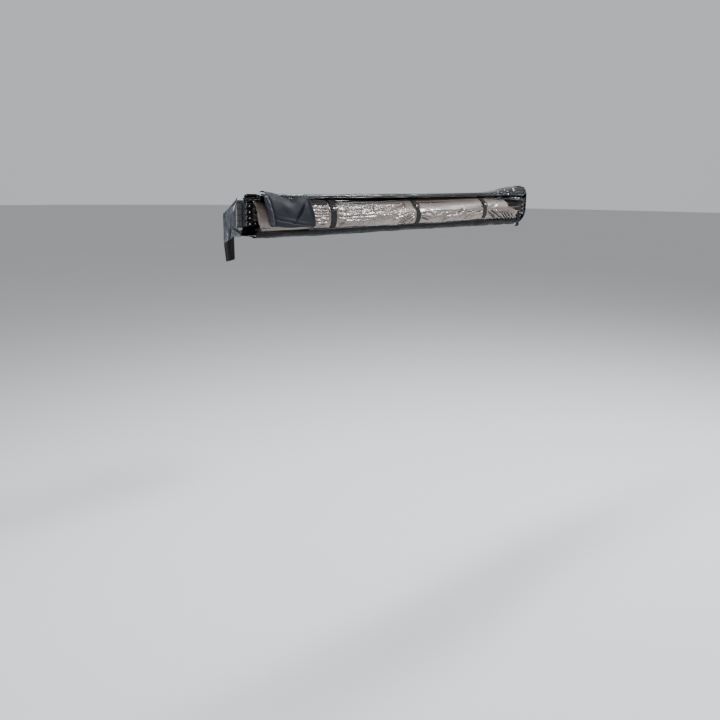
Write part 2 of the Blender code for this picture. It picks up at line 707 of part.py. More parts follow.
def canopy_wrap(finish):
    """The outer fold of the first panel, laid round the bundle, with long folds in its face."""
    steps = 6 * WRAP_FOLDS
    high, low = WRAP_Z - WRAP_CORNER_R, WRAP_BOTTOM + WRAP_CORNER_R
    rings = []
    for x in along(WRAP_START, WRAP_END, 18):
        lean = sum(much * math.sin(often * x) for much, often in WRAP_LEANS)
        face = []
        for i in range(1, steps):
            share = i / steps
            ease = math.sin(math.pi * share)
            crease = abs(math.cos(math.pi * (WRAP_FOLDS * share + lean * ease)))
            face.append((WRAP_FRONT + WRAP_FOLD_DEEP * ease * crease ** WRAP_SHARPNESS,
                         high + (low - high) * share))
        path = around(WRAP_FRONT, WRAP_Z, WRAP_BOTTOM, WRAP_CORNER_R, RAIL_FRONT - CLOTH,
                      WRAP_UNDER, face)
        rings.append((x, ribbon(path, CLOTH)))
    soft("canopy_wrap", rings, finish)


def roll_top(x):
    """The rolled cover's height, which swells towards the front end of the bag."""
    ripple = sum(high * math.sin(often * x + shift) for high, often, shift in ROLL_RIPPLES)
    swell = ROLL_SWELL * math.exp(-((x - ROLL_SWELL_AT) / ROLL_SWELL_REACH) ** 2 / 2)
    return ROLL_HEIGHT + swell + ripple


def cover_section(x, depth, high):
    """A rounded section of the bag's cover above the bundle."""
    middle = RAIL_FRONT - ROLL_OUT - depth / 2
    outline = []
    for n in range(20):
        angle = math.tau * n / 20
        wide = math.copysign(abs(math.cos(angle)) ** COVER_SQUARENESS[0], math.cos(angle))
        tall = math.copysign(abs(math.sin(angle)) ** COVER_SQUARENESS[1], math.sin(angle))
        outline.append((middle + depth / 2 * wide, ROLL_Z + high / 2 * (1 + tall)))
    return (x, outline)


def bag_roll(finish):
    """The bag's cover, rolled up on top of the bundle."""
    sections = [cover_section(x, ROLL_DEPTH, roll_top(x)) for x in along(ROLL_START, ROLL_END, 16)]
    soft("bag_roll", sections, finish)


def bag_apron(finish):
    """The loose edge of the cover, which hangs over the bundle's outboard corner."""
    rings = []
    corner = WRAP_CORNER_R + PVC
    for x in along(APRON_START, APRON_END, 12):
        drop = APRON_DROP + APRON_WAVE * math.sin(APRON_WAVES * x)
        path = [(APRON_FRONT + APRON_TOP, APRON_Z)]
        path += arc((APRON_FRONT + corner, APRON_Z - corner), corner, 90, 180, 4)
        path += [(APRON_FRONT, APRON_Z - drop)]
        rings.append((x, ribbon(path, PVC)))
    soft("bag_apron", rings, finish)


def bag_sling(finish):
    """The bag's floor, which lies under the bundle along the rail's foot."""
    rings = []
    inner, outer = RAIL_FRONT - ROOM, RAIL_FRONT - SLING_DEPTH
    round_r = SLING_THICK / 2
    for x in along(SLING_START, SLING_END, 10):
        sag = SLING_SAG * (1 + math.sin(SLING_SAGS * x))
        outline = [(inner, SLING_BOTTOM + sag), (inner, SLING_TOP - ROOM - sag)]
        outline += arc((outer + round_r, SLING_TOP - round_r), round_r, 90, 270, 6)
        rings.append((x, outline))
    soft("bag_sling", rings, finish)


def bag_end_cap(finish):
    """The closed front end of the bag: a wall beyond the arms' tips, with the cover's end on it."""
    end = RAIL_START + RAIL_LENGTH + GAP
    back, front = RAIL_BACK - SLOT_FLOOR, PIVOT_Y - CAP_REACH
    top_r, low_r = CAP_CORNER_R, CAP_LOW_R
    outline = [(back, SLING_BOTTOM), (back, CAP_TOP)]
    outline += arc((front + top_r, CAP_TOP - top_r), top_r, 90, 180, 5)
    outline += arc((front + low_r, SLING_BOTTOM + low_r), low_r, 180, 270, 6)
    wall = prism("bag_end_cap", outline, "x", end, end + CAP_WALL)
    start = ROLL_END + GAP
    sections = [cover_section(start, ROLL_DEPTH, roll_top(ROLL_END)),
                cover_section(start + (end - start) * HOOD_KNEE, RAIL_FRONT - ROLL_OUT - front,
                              (CAP_TOP - ROLL_Z + roll_top(ROLL_END)) / 2),
                cover_section(end + CAP_WALL / 2, RAIL_FRONT - ROLL_OUT * 2 - front,
                              CAP_TOP - ROLL_Z - CAP_WALL)]
    hood = loft("hood", [[(x, y, z) for y, z in outline] for x, outline in sections])
    add("bag_end_cap", union(wall, hood), finish, location=(PIVOT_X, 0, 0))


def bag_tail_flap(finish):
    """The bag's open rear end, hanging loose from the rail's end behind the hinge."""
    turn = math.radians(TAIL_TURN)
    start = (RAIL_START - GAP - PVC / 2, (RAIL_FRONT + RAIL_BACK) / 2)
    top = ROLL_Z + ROLL_HEIGHT / 2
    rings = []
    for i in range(9):
        share = i / 8
        fall = TAIL_SLOPE * share ** TAIL_FALL_POWER
        ring = []
        for side in (1, -1):
            row = []
            for step in range(9):
                down = step / 8
                wave = TAIL_WAVE * share * math.sin(math.tau * share + TAIL_WAVE_LAG * down)
                off = side * PVC / 2 + wave
                row.append((start[0] - TAIL_WIDTH * share * math.cos(turn) - off * math.sin(turn),
                            start[1] + TAIL_WIDTH * share * math.sin(turn) - off * math.cos(turn),
                            top - fall - (TAIL_LENGTH - fall * TAIL_HEM_SHARE) * down))
            ring += row if side == 1 else row[::-1]
        rings.append(ring)
    add("bag_tail_flap", loft("bag_tail_flap", rings), finish, location=(PIVOT_X, 0, 0))


def flap_x(share, down):
    """The flap's place along the rail at a share of its width and of its drop."""
    start = FLAP_TOP_X[0] + (FLAP_BOTTOM_X[0] - FLAP_TOP_X[0]) * down
    stop = FLAP_TOP_X[1] + (FLAP_BOTTOM_X[1] - FLAP_TOP_X[1]) * down
    return start + (stop - start) * share


def hinge_flap(finish, dark):
    """The grey flap over the hinge end of the bundle, with a rope in its slanted hem, and its tab."""
    front = STRAP_FRONT - STRAP - ROOM
    rings = []
    for share in along(0, 1, 8):
        top = ROLL_Z + roll_top(flap_x(share, 0)) + GAP + PVC / 2
        swell = FLAP_SWELL * math.sin(math.pi * share)
        path = [(front + FLAP_CORNER_R + FLAP_REACH, top)]
        path += arc((front + FLAP_CORNER_R, top - FLAP_CORNER_R), FLAP_CORNER_R, 100, 180, 4)
        path += [(front - swell * math.sin(math.pi * down),
                  top - FLAP_CORNER_R - (FLAP_LENGTH - FLAP_CORNER_R) * down)
                 for down in (0.2, 0.4, 0.6, 0.8, 1.0)]
        rings.append([(flap_x(share, min(max((top - z) / FLAP_LENGTH, 0), 1)), y, z)
                      for y, z in ribbon(path, PVC)])
    sheet = loft("hinge_flap", rings)
    top = ROLL_Z + roll_top(FLAP_TOP_X[0])
    hem = []
    for down, r in FLAP_HEM:
        centre = (flap_x(0, down), front + PVC / 2 - FLAP_HEM_R * r)
        hem.append([(x, y, top - FLAP_LENGTH * down)
                    for x, y in arc(centre, FLAP_HEM_R * r, 0, 330, 11)])
    add("hinge_flap", union(sheet, loft("hem", hem)), finish, location=(PIVOT_X, 0, 0))
    x = FLAP_TOP_X[1] + TAB_FROM_FLAP
    z = APRON_Z - TAB_DROP
    tab = block("flap_tab", (x, x + TAB_LENGTH), (STRAP_FRONT - PVC / 2, STRAP_FRONT + PVC / 2),
                (z - TAB_HEIGHT / 2, z + TAB_HEIGHT / 2))
    add("flap_tab", tab, dark, location=(PIVOT_X, 0, 0))


def straps(finish, buckle_finish):
    """Three webbing straps round the bundle, each with a buckle on its outboard face."""
    bottom = SLING_BOTTOM - GAP - STRAP / 2
    path = around(STRAP_FRONT, STRAP_Z, bottom, WRAP_CORNER_R + 2 * STRAP, RAIL_FRONT - STRAP,
                  STRAP_UNDER)
    half = STRAP_WIDTH / 2
    band = prism("strap", ribbon(path, STRAP), "x", -half, half)
    near = STRAP_FRONT - STRAP / 2 - GAP
    side, tall, bar = BUCKLE_WIDTH / 2, BUCKLE_LENGTH / 2, BUCKLE_BAR
    frame = block("strap_buckle", (-side, side), (near - BUCKLE, near), (-tall, tall))
    windows = [block("window", (-side + bar, side - bar), (near - 2 * BUCKLE, near - BUCKLE * 0.4),
                     (low, low + tall - 1.5 * bar)) for low in (-tall + bar, bar / 2)]
    buckle = cut(frame, *windows)
    for number, x in enumerate(STRAPS_X, 1):
        add(f"strap_{number}", band, finish, location=(PIVOT_X + x, 0, 0))
        add(f"strap_buckle_{number}", buckle, buckle_finish, location=(PIVOT_X + x, 0, BUCKLE_Z))


def main():
    for old in list(bpy.data.objects):
        bpy.data.objects.remove(old)
    black_metal = material("black_powder_coat", (0.02, 0.02, 0.022), 0.45, 0.6)
    grey_metal = material("grey_cast_metal", (0.16, 0.165, 0.175), 0.4, 0.8)
    silver = material("anodised_aluminium", (0.55, 0.56, 0.58), 0.35, 0.95)
    zinc = material("zinc", (0.7, 0.7, 0.72), 0.3, 1.0)
    black_plastic = material("black_plastic", (0.02, 0.02, 0.02), 0.5)
    white_plastic = material("pale_nylon", (0.75, 0.74, 0.7), 0.5)
    cloth = material("taupe_canopy", (0.42, 0.36, 0.31), 0.55)
    pvc = material("black_pvc", (0.015, 0.016, 0.02), 0.35)
    slate = material("slate_pvc", (0.055, 0.062, 0.075), 0.6)
    webbing = material("black_webbing", (0.02, 0.02, 0.02), 0.8)
    backing_rail(black_metal)
    mounting_brackets(black_metal)
    hinge_bracket(black_metal)
    pivot(zinc, white_plastic)
    arms({"channel": black_metal, "knuckle": grey_metal, "leg_pin": zinc, "tip": black_plastic,
          "outer": silver, "inner": silver, "collar": black_plastic, "foot": black_plastic})
    canopy(cloth)
    canopy_wrap(cloth)
    bag_roll(pvc)
    bag_apron(pvc)
    bag_sling(pvc)
    bag_end_cap(pvc)
    bag_tail_flap(pvc)
    hinge_flap(slate, webbing)
    straps(webbing, black_plastic)


main()
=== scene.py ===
"""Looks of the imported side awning: cloth, bag, straps and finishes round the fixed frame.

Places are in metres in the row frame. Those along the bundle are measured from the pivot's axis,
and the helpers that make meshes move them onto it.
"""

import json
import math

import bmesh
import bpy
import numpy as np
from mathutils import Matrix, Vector


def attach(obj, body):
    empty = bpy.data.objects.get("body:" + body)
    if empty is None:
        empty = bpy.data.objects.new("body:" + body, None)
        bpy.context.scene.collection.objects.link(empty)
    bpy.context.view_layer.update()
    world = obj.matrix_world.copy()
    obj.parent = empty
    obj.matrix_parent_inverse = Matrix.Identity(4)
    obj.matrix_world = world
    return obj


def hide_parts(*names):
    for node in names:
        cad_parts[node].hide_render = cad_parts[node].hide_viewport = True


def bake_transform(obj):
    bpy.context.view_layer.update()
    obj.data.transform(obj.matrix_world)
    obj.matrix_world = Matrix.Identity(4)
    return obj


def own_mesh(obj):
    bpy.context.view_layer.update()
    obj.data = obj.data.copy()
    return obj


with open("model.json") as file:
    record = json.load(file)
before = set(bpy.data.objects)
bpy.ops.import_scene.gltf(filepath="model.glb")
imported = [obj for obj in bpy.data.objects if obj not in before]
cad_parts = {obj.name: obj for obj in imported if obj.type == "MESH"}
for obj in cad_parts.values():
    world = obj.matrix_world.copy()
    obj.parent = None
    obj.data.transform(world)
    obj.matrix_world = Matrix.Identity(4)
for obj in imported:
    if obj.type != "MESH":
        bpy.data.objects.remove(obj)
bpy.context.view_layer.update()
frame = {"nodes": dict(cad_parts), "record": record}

TAU = math.tau

# Camera, solved for the awning standing level and then raked with it
HINGE_X, HINGE_Y = -1.224, -0.107
CAMERA_AT = (-3.413, -3.123, 0.323)
CAMERA_HEADING = math.radians(45.125)
CAMERA_PITCH = math.radians(14.16)
FOCAL_SHARE = 756.1 / 720
SENSOR = 36.0
RAKE = 0.0151

# The part's own sizes
RAIL_FRONT = -0.051
ARM_PITCH = 0.028
ARMS_TOP = 0.165
STACK_BASE = 0.055
ARM_START, ARM_END = 0.022, 2.397
ARM_HALF, ARM_LOW, ARM_HIGH = 0.018, 0.002, 0.026
TRACK_OUT, TRACK_DEEP = 0.024, 0.008
FOLD_FRONT = -0.1323
CANOPY_START, CANOPY_END = 0.066, 2.385
ROLL_Z = 0.1833
STRAPS_X = (0.536, 1.208, 1.851)
STRAP_WIDTH = 0.038
BUCKLE_Z = 0.134
RIVETS_X = (0.046, 0.080)
SWING = math.radians(67.5)

# The top of the bundle, and how thick the cloths are
BUNDLE_TOP = 0.1765
CLOTH_THICK = 0.0012
BAG_THICK = 0.0013
FLAP_THICK = 0.0014
STRAP_THICK = 0.0019


# Camera

def make_camera():
    """The photograph's view: the solved camera, turned with the awning's rake about the pivot."""
    pitch, heading = CAMERA_PITCH, CAMERA_HEADING
    look = Vector((math.cos(heading) * math.cos(pitch), math.sin(heading) * math.cos(pitch),
                   -math.sin(pitch)))
    level = Matrix.Translation(CAMERA_AT) @ look.to_track_quat("-Z", "Y").to_matrix().to_4x4()
    pivot = Matrix.Translation((HINGE_X, 0, 0))
    data = bpy.data.cameras.new("camera")
    data.sensor_width = SENSOR
    data.lens = FOCAL_SHARE * SENSOR
    data.clip_start, data.clip_end = 0.05, 200
    camera = bpy.data.objects.new("camera", data)
    bpy.context.collection.objects.link(camera)
    camera.matrix_world = pivot @ Matrix.Rotation(-RAKE, 4, "Y") @ pivot.inverted() @ level
    bpy.context.scene.camera = camera


make_camera()


# Noise and profiles

def noise(x, y, seed):
    """Smooth gradient noise, about -1 to 1, whose features are one unit across."""
    rng = np.random.default_rng(seed)
    table = rng.permutation(256)
    angles = rng.uniform(0, TAU, 256)
    x, y = np.broadcast_arrays(np.asarray(x, float), np.asarray(y, float))
    xi, yi = np.floor(x).astype(int), np.floor(y).astype(int)
    xf, yf = x - xi, y - yi
    u = xf ** 3 * (xf * (xf * 6 - 15) + 10)
    v = yf ** 3 * (yf * (yf * 6 - 15) + 10)

    def corner(i, j):
        angle = angles[(table[(xi + i) & 255] + yi + j) & 255]
        return np.cos(angle) * (xf - i) + np.sin(angle) * (yf - j)
    low = corner(0, 0) * (1 - u) + corner(1, 0) * u
    high = corner(0, 1) * (1 - u) + corner(1, 1) * u
    return 1.5 * (low * (1 - v) + high * v)


def crumple(x, y, seed, octaves=3):
    """Creased cloth from 0 to about 1: rounded billows that meet in sharp valleys."""
    warp = 0.45 * noise(x * 0.7, y * 0.7, seed + 50)
    total, size, weight = 0.0, 1.0, 0.55
    for octave in range(octaves):
        total = total + weight * np.abs(noise(x * size + warp, y * size - warp, seed + octave))
        size, weight = size * 1.9, weight * 0.55
    return np.clip(total * 1.7, 0, 1.4)


def smooth(low, high, value):
    """A soft step from 0 at low to 1 at high."""
    t = np.clip((value - low) / (high - low), 0, 1)
    return t * t * (3 - 2 * t)


def blunt(value, power):
    """A sine or cosine raised to a power with its sign kept, which squares a circle's corners."""
    return np.sign(value) * np.abs(value) ** power


def hump(value, centre, reach):
    """A bell of height 1 round a centre."""
    return np.exp(-((value - centre) / reach) ** 2)


def strokes(x, z, marks, warp, seed=5):
    """Folds drawn on a face, each as (x, z, x, z, half width, height): ridges up, valleys down."""
    x = x + warp * noise(x / 0.11, z / 0.05, seed)
    z = z + warp * 0.5 * noise(x / 0.09, z / 0.06, seed + 1)
    total = np.zeros(np.broadcast(x, z).shape)
    for x0, z0, x1, z1, half, high in marks:
        dx, dz = x1 - x0, z1 - z0
        share = ((x - x0) * dx + (z - z0) * dz) / (dx * dx + dz * dz)
        t = np.clip(share, 0, 1)
        away = np.hypot(x - x0 - dx * t, z - z0 - dz * t) / half
        side = ((x - x0) * dz - (z - z0) * dx) / math.hypot(dx, dz) / half
        fade = 0.30 + 0.70 * np.sin(math.pi * t) ** 0.7
        ridge = np.exp(-(away / 1.3) ** 1.5)
        valley = np.exp(-((side - 1.8) / 0.7) ** 2) * np.exp(-(away / 2.8) ** 4)
        total = total + high * fade * (ridge - (0.6 * valley if high > 0 else 0))
    return total


def arc(centre, radius, start, stop, steps=8):
    """Points on an arc, in degrees."""
    turns = [math.radians(start + (stop - start) * i / steps) for i in range(steps + 1)]
    return [(centre[0] + radius * math.cos(a), centre[1] + radius * math.sin(a)) for a in turns]


def resample(path, count):
    """A path with its points evenly spread by length."""
    path = np.asarray(path, float)
    steps = np.r_[0, np.cumsum(np.linalg.norm(np.diff(path, axis=0), axis=1))]
    at = np.linspace(0, steps[-1], count)
    return np.stack([np.interp(at, steps, path[:, i]) for i in range(path.shape[1])], 1)


# Meshes

def new_object(name, points, faces, material, uv=None):
    """A mesh object in the row frame, with its faces pointing out."""
    mesh = bpy.data.meshes.new(name)
    mesh.from_pydata([tuple(p) for p in points], [], [tuple(int(i) for i in f) for f in faces])
    bm = bmesh.new()
    bm.from_mesh(mesh)
    bmesh.ops.recalc_face_normals(bm, faces=bm.faces)
    bm.to_mesh(mesh)
    bm.free()
    if uv is not None:
        layer = mesh.uv_layers.new(name="Cloth")
        corners = np.zeros(len(mesh.loops), int)
        mesh.loops.foreach_get("vertex_index", corners)
        layer.data.foreach_set("uv", np.asarray(uv, np.float32)[corners].ravel())
    mesh.shade_smooth()
    mesh.materials.append(material)
    obj = bpy.data.objects.new(name, mesh)
    bpy.context.collection.objects.link(obj)
    return obj


def lengths(grid, axis):
    """How far each point lies along its line of the grid."""
    step = np.linalg.norm(np.diff(grid, axis=axis), axis=2)
    zero = np.zeros_like(np.take(step, [0], axis=axis))
    return np.concatenate([zero, np.cumsum(step, axis=axis)], axis=axis)


def valleys(height, steps):
    """How deep each point of a grid lies below the surface round it, against 1 mm."""
    mean = height
    for axis, count in enumerate(steps):
        for _ in range(count):
            ahead = np.concatenate([np.take(mean, range(1, mean.shape[axis]), axis),
                                    np.take(mean, [-1], axis)], axis)
            behind = np.concatenate([np.take(mean, [0], axis),
                                     np.take(mean, range(mean.shape[axis] - 1), axis)], axis)
            mean = (ahead + mean + behind) / 3
    return (mean - height) / 0.001


def shell(name, grid, thick, material, loop=False, crease=None):
    """A closed thin body of cloth round a grid of points, x being measured from the pivot.

    The grid is rows of points, or its three coordinates. The crease says where painted shade
    darkens the cloth in its folds, 0 to 1.
    """
    if isinstance(grid, tuple):
        grid = np.stack(np.broadcast_arrays(*grid), -1)
    grid = np.array(grid, float)
    grid[..., 0] += HINGE_X
    n, m = grid.shape[:2]
    if loop:
        around = np.roll(grid, -1, 1) - np.roll(grid, 1, 1)
    else:
        around = np.gradient(grid, axis=1)
    normal = np.cross(np.gradient(grid, axis=0), around)
    normal /= np.maximum(np.linalg.norm(normal, axis=2), 1e-12)[..., None]
    half = np.broadcast_to(np.asarray(thick, float) / 2, (n, m))[..., None]
    points = np.concatenate([(grid + normal * half).reshape(-1, 3),
                             (grid - normal * half).reshape(-1, 3)])
    index = np.arange(n * m).reshape(n, m)
    after = np.roll(index, -1, 1) if loop else index[:, 1:]
    here = index if loop else index[:, :-1]
    top = np.stack([here[:-1], here[1:], after[1:], after[:-1]], -1).reshape(-1, 4)
    low = top[:, ::-1] + n * m
    rims = []
    for row in (0, n - 1):
        a, b = here[row], after[row]
        rims.append(np.stack([a, b, b + n * m, a + n * m], -1))
    if not loop:
        for column in (0, m - 1):
            a, b = index[:-1, column], index[1:, column]
            rims.append(np.stack([a, b, b + n * m, a + n * m], -1))
    faces = np.concatenate([top, low] + rims)
    uv = np.stack([lengths(grid, 0), lengths(grid, 1)], -1).reshape(-1, 2)
    body = new_object(name, points, faces, material, np.concatenate([uv, uv]))
    # Painted shade: how deep each point lies in a fold, kept on the points so the material can darken the
    # cloth there.
    if crease is not None:
        layer = body.data.attributes.new("CreaseShade", "FLOAT", "POINT")
        layer.data.foreach_set("value", np.tile(np.asarray(crease, np.float32).ravel(), 2))
    return body


def ring_faces(count, sides):
    """The faces that join rings of points into a tube and close its ends."""
    faces = [[i * sides + j, i * sides + (j + 1) % sides, (i + 1) * sides + (j + 1) % sides,
              (i + 1) * sides + j] for i in range(count - 1) for j in range(sides)]
    return faces + [list(range(sides)), list(range((count - 1) * sides, count * sides))]


def rod(points, radius, sides=12, flat=1.0):
    """Points and faces of a capped rod along a path in the row frame, rounder or flatter."""
    path = np.asarray(points, float)
    n = len(path)
    radius = np.broadcast_to(np.asarray(radius, float), n)
    ahead = np.gradient(path, axis=0)
    ahead /= np.linalg.norm(ahead, axis=1)[:, None]
    up = np.array((0.0, 0.0, 1.0)) if abs(ahead[0][2]) < 0.9 else np.array((1.0, 0.0, 0.0))
    rings = []
    for centre, way, r in zip(path, ahead, radius):
        side = np.cross(way, up)
        side /= np.linalg.norm(side)
        up = np.cross(side, way)
        rings.append([centre + r * (math.cos(a) * side + flat * math.sin(a) * up)
                      for a in np.arange(sides) * TAU / sides])
    return np.concatenate(rings), ring_faces(n, sides)


def rivet_head(centre, radius, high, sides=20):
    """Points and faces of a low round head that looks outboard."""
    profile = ((radius, 0), (radius, 0.35), (radius * 0.85, 0.75), (radius * 0.5, 0.97), (0.0002, 1))
    vertices = [(centre[0] + r * math.cos(turn), centre[1] - high * up, centre[2] + r * math.sin(turn))
                for r, up in profile for turn in np.arange(sides) * TAU / sides]
    return np.array(vertices), ring_faces(len(profile), sides)


def gather(name, bodies, material):
    """One object from several lists of points and faces."""
    points, faces, shift = [], [], 0
    for vertices, polygons in bodies:
        points.append(vertices)
        faces += [[i + shift for i in f] for f in polygons]
        shift += len(vertices)
    obj = new_object(name, np.concatenate(points), faces, material)
    obj.data.set_sharp_from_angle(angle=math.radians(35))
    return obj


# How the pieces ride on the frame

def place(piece, body="root", stands_for=None):
    """What a piece rides on and the node whose place it takes."""
    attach(piece, body)
    if stands_for:
        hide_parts(stands_for)


def flatten(piece):
    """Gives the piece its own copy of its mesh."""
    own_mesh(piece)


def draw_in(piece):
    """Gives the piece its own copy of its mesh."""
    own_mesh(piece)


# Materials

class Finish:
    """A procedural material, built node by node round one Principled shader."""

    def __init__(self, name, **sockets):
        self.material = bpy.data.materials.new(name)
        self.material.use_nodes = True
        tree = self.material.node_tree
        self.nodes, self.links = tree.nodes, tree.links
        self.shader = next(n for n in tree.nodes if n.type == "BSDF_PRINCIPLED")
        self.place = self.nodes.new("ShaderNodeTexCoord").outputs["Object"]
        self.normal = None
        for socket, value in sockets.items():
            self.shader.inputs[socket.replace("_", " ")].default_value = value

    def node(self, kind, inputs=(), **settings):
        made = self.nodes.new("ShaderNode" + kind)
        for key, value in settings.items():
            setattr(made, key, value)
        for key, value in dict(inputs).items():
            socket = made.inputs[key]
            if isinstance(value, bpy.types.NodeSocket):
                self.links.new(value, socket)
            else:
                socket.default_value = value
        return made

    def stretched(self, scale):
        return self.node("Mapping", {"Vector": self.place, "Scale": scale}).outputs[0]

    def noise(self, scale, detail=3.0, rough=0.5, stretch=(1, 1, 1), distort=0.0):
        return self.node("TexNoise", {"Vector": self.stretched(stretch), "Scale": scale,
                                      "Detail": detail, "Roughness": rough,
                                      "Distortion": distort}).outputs["Fac"]

    def ramp(self, value, low, high, to_low, to_high):
        return self.node("MapRange", {"Value": value, "From Min": low, "From Max": high,
                                      "To Min": to_low, "To Max": to_high}).outputs["Result"]

    def mix(self, share, a, b):
        return self.node("Mix", {0: share, 6: a, 7: b}, data_type="RGBA").outputs[2]

    def weave(self, pitch, across=None):
        """Threads over and under each other, along the cloth's own map."""
        uv = self.node("UVMap", uv_map="Cloth").outputs[0]
        threads = []
        for direction, size in (("X", pitch), ("Y", across or pitch)):
            wave = self.node("TexWave", {"Vector": uv, "Scale": TAU / 20 / size / 2},
                             wave_type="BANDS", bands_direction=direction)
            threads.append(wave.outputs["Fac"])
        return self.node("Math", enumerate(threads), operation="MULTIPLY").outputs[0]

    def colour(self, value):
        self.links.new(value, self.shader.inputs["Base Color"])

    def rough(self, value):
        self.links.new(value, self.shader.inputs["Roughness"])

    def tones(self, shape, low, high, a, b, most=1.0):
        """Colour in soft patches, from one tone to another."""
        self.colour(self.mix(self.ramp(self.noise(*shape), low, high, 0.0, most), a, b))

    def polish(self, shape, low, high, least, most):
        """Roughness in soft patches, from least to most."""
        self.rough(self.ramp(self.noise(*shape), low, high, least, most))

    def bump(self, height, distance, strength=1.0):
        inputs = {"Height": height, "Distance": distance, "Strength": strength}
        if self.normal:
            inputs["Normal"] = self.normal
        self.normal = self.node("Bump", inputs).outputs[0]
        self.links.new(self.normal, self.shader.inputs["Normal"])


def rgb(r, g, b):
    return (r, g, b, 1.0)


def canopy_cloth(name, light, dark, rough):
    """Coated polyester: a fine weave under a satin coating, creased where it has been folded, with painted
    shade darkening its colour in the mesh's folds.
    """
    f = Finish(name, Specular_IOR_Level=0.6, Coat_Weight=0.8, Coat_Roughness=0.15)
    tone = f.noise(4.5, 4.0, 0.6, (0.6, 1, 1.6))
    plain = f.mix(f.ramp(tone, 0.3, 0.7, 0.0, 1.0), dark, light)
    # Painted shade: the crease attribute mixes the colour towards a dark brown in the folds' valleys.
    deep = f.node("Attribute", attribute_name="CreaseShade").outputs["Fac"]
    f.colour(f.mix(deep, plain, rgb(0.020, 0.013, 0.010)))
    f.polish((22, 3.0), 0.3, 0.7, rough - 0.06, rough + 0.08)
    f.bump(f.weave(0.0009), 0.00012, 0.5)
    f.bump(f.noise(38, 4.0, 0.6, (0.5, 1, 1), 0.4), 0.0016, 0.4)
    return f.material


def coated_pvc(name, light, dark, rough, wrinkle=0.0022, coat=0.0, shine=0.35, along=0.6):
    """Heavy PVC-coated cloth: leathery grain over a weave, with soft wrinkles and rubbed places."""
    f = Finish(name, Specular_IOR_Level=shine, Coat_Weight=coat, Coat_Roughness=0.2)
    f.tones((9, 5.0, 0.62), 0.35, 0.72, dark, light)
    f.polish((16, 4.0, 0.6), 0.3, 0.72, rough - 0.08, rough + 0.12)
    f.bump(f.weave(0.0014), 0.0002, 0.45)
    f.bump(f.noise(420, 2.0), 0.00015, 0.5)
    f.bump(f.noise(30, 4.0, 0.58, (along, 1, 1), 0.8), wrinkle, 0.5)
    return f.material


def woven_strap(name, colour, worn):
    """Webbing: ribs across the width, heavier edges and a dull nap."""
    f = Finish(name, Sheen_Weight=0.05, Sheen_Roughness=0.5, Specular_IOR_Level=0.25)
    ribs = f.weave(0.0016, 0.0024)
    f.tones((60, 4.0, 0.7), 0.4, 0.8, colour, worn)
    f.rough(f.ramp(ribs, 0, 1, 0.85, 0.62))
    f.bump(ribs, 0.0005, 0.9)
    f.bump(f.noise(900, 2.0), 0.0002, 0.4)
    return f.material


def powder_coat(name, colour, dusty, rough=0.42):
    """Satin powder coat: orange peel, a little dust and rubbed tone."""
    f = Finish(name, Specular_IOR_Level=0.5)
    f.tones((14, 5.0, 0.65), 0.48, 0.78, colour, dusty, 0.7)
    f.polish((40, 4.0, 0.6), 0.3, 0.7, rough - 0.06, rough + 0.12)
    f.bump(f.noise(1400, 2.0), 0.00012, 0.5)
    return f.material


def bare_metal(name, colour, stained, rough, grain=(1, 1, 1), scale=600.0, depth=0.00006):
    """Metal with the grain of how it was made, and slightly uneven polish."""
    f = Finish(name, Metallic=1.0)
    f.tones((35, 5.0, 0.65), 0.45, 0.8, colour, stained)
    f.polish((80, 4.0, 0.6, grain), 0.3, 0.7, rough - 0.07, rough + 0.1)
    f.bump(f.noise(scale, 3.0, 0.6, grain), depth, 0.6)
    return f.material


def moulded(name, colour, scuffed, rough=0.5):
    """Moulded plastic: a fine spark texture and scuffs."""
    f = Finish(name, Specular_IOR_Level=0.45)
    f.tones((50, 5.0, 0.7), 0.55, 0.85, colour, scuffed)
    f.polish((120, 3.0), 0.3, 0.7, rough - 0.05, rough + 0.1)
    f.bump(f.noise(2200, 2.0), 0.00008, 0.6)
    return f.material


TAUPE = canopy_cloth("taupe_canopy", rgb(0.205, 0.160, 0.140), rgb(0.126, 0.096, 0.082), 0.38)
TAUPE_INSIDE = canopy_cloth("taupe_canopy_folds", rgb(0.25, 0.195, 0.165), rgb(0.14, 0.105, 0.09),
                            0.5)
BLACK_PVC = coated_pvc("black_pvc", rgb(0.011, 0.0125, 0.017), rgb(0.0045, 0.005, 0.0075), 0.25,
                       coat=0.25)
EDGE_PVC = coated_pvc("black_pvc_edge", rgb(0.013, 0.0145, 0.019), rgb(0.006, 0.0066, 0.009), 0.36,
                      0.0014, coat=0.22, shine=0.4, along=0.2)
ROLL_PVC = coated_pvc("black_pvc_roll", rgb(0.0085, 0.0100, 0.0145), rgb(0.0035, 0.004, 0.006), 0.13,
                      0.0004, coat=0.3, shine=0.5, along=0.10)
FLOOR_PVC = coated_pvc("black_pvc_floor", rgb(0.0065, 0.007, 0.009), rgb(0.003, 0.0034, 0.0045), 0.46,
                       0.0018, shine=0.16, along=0.3)
SLATE = coated_pvc("slate_pvc", rgb(0.019, 0.021, 0.030), rgb(0.012, 0.0135, 0.020), 0.54, 0.0007,
                   shine=0.2)
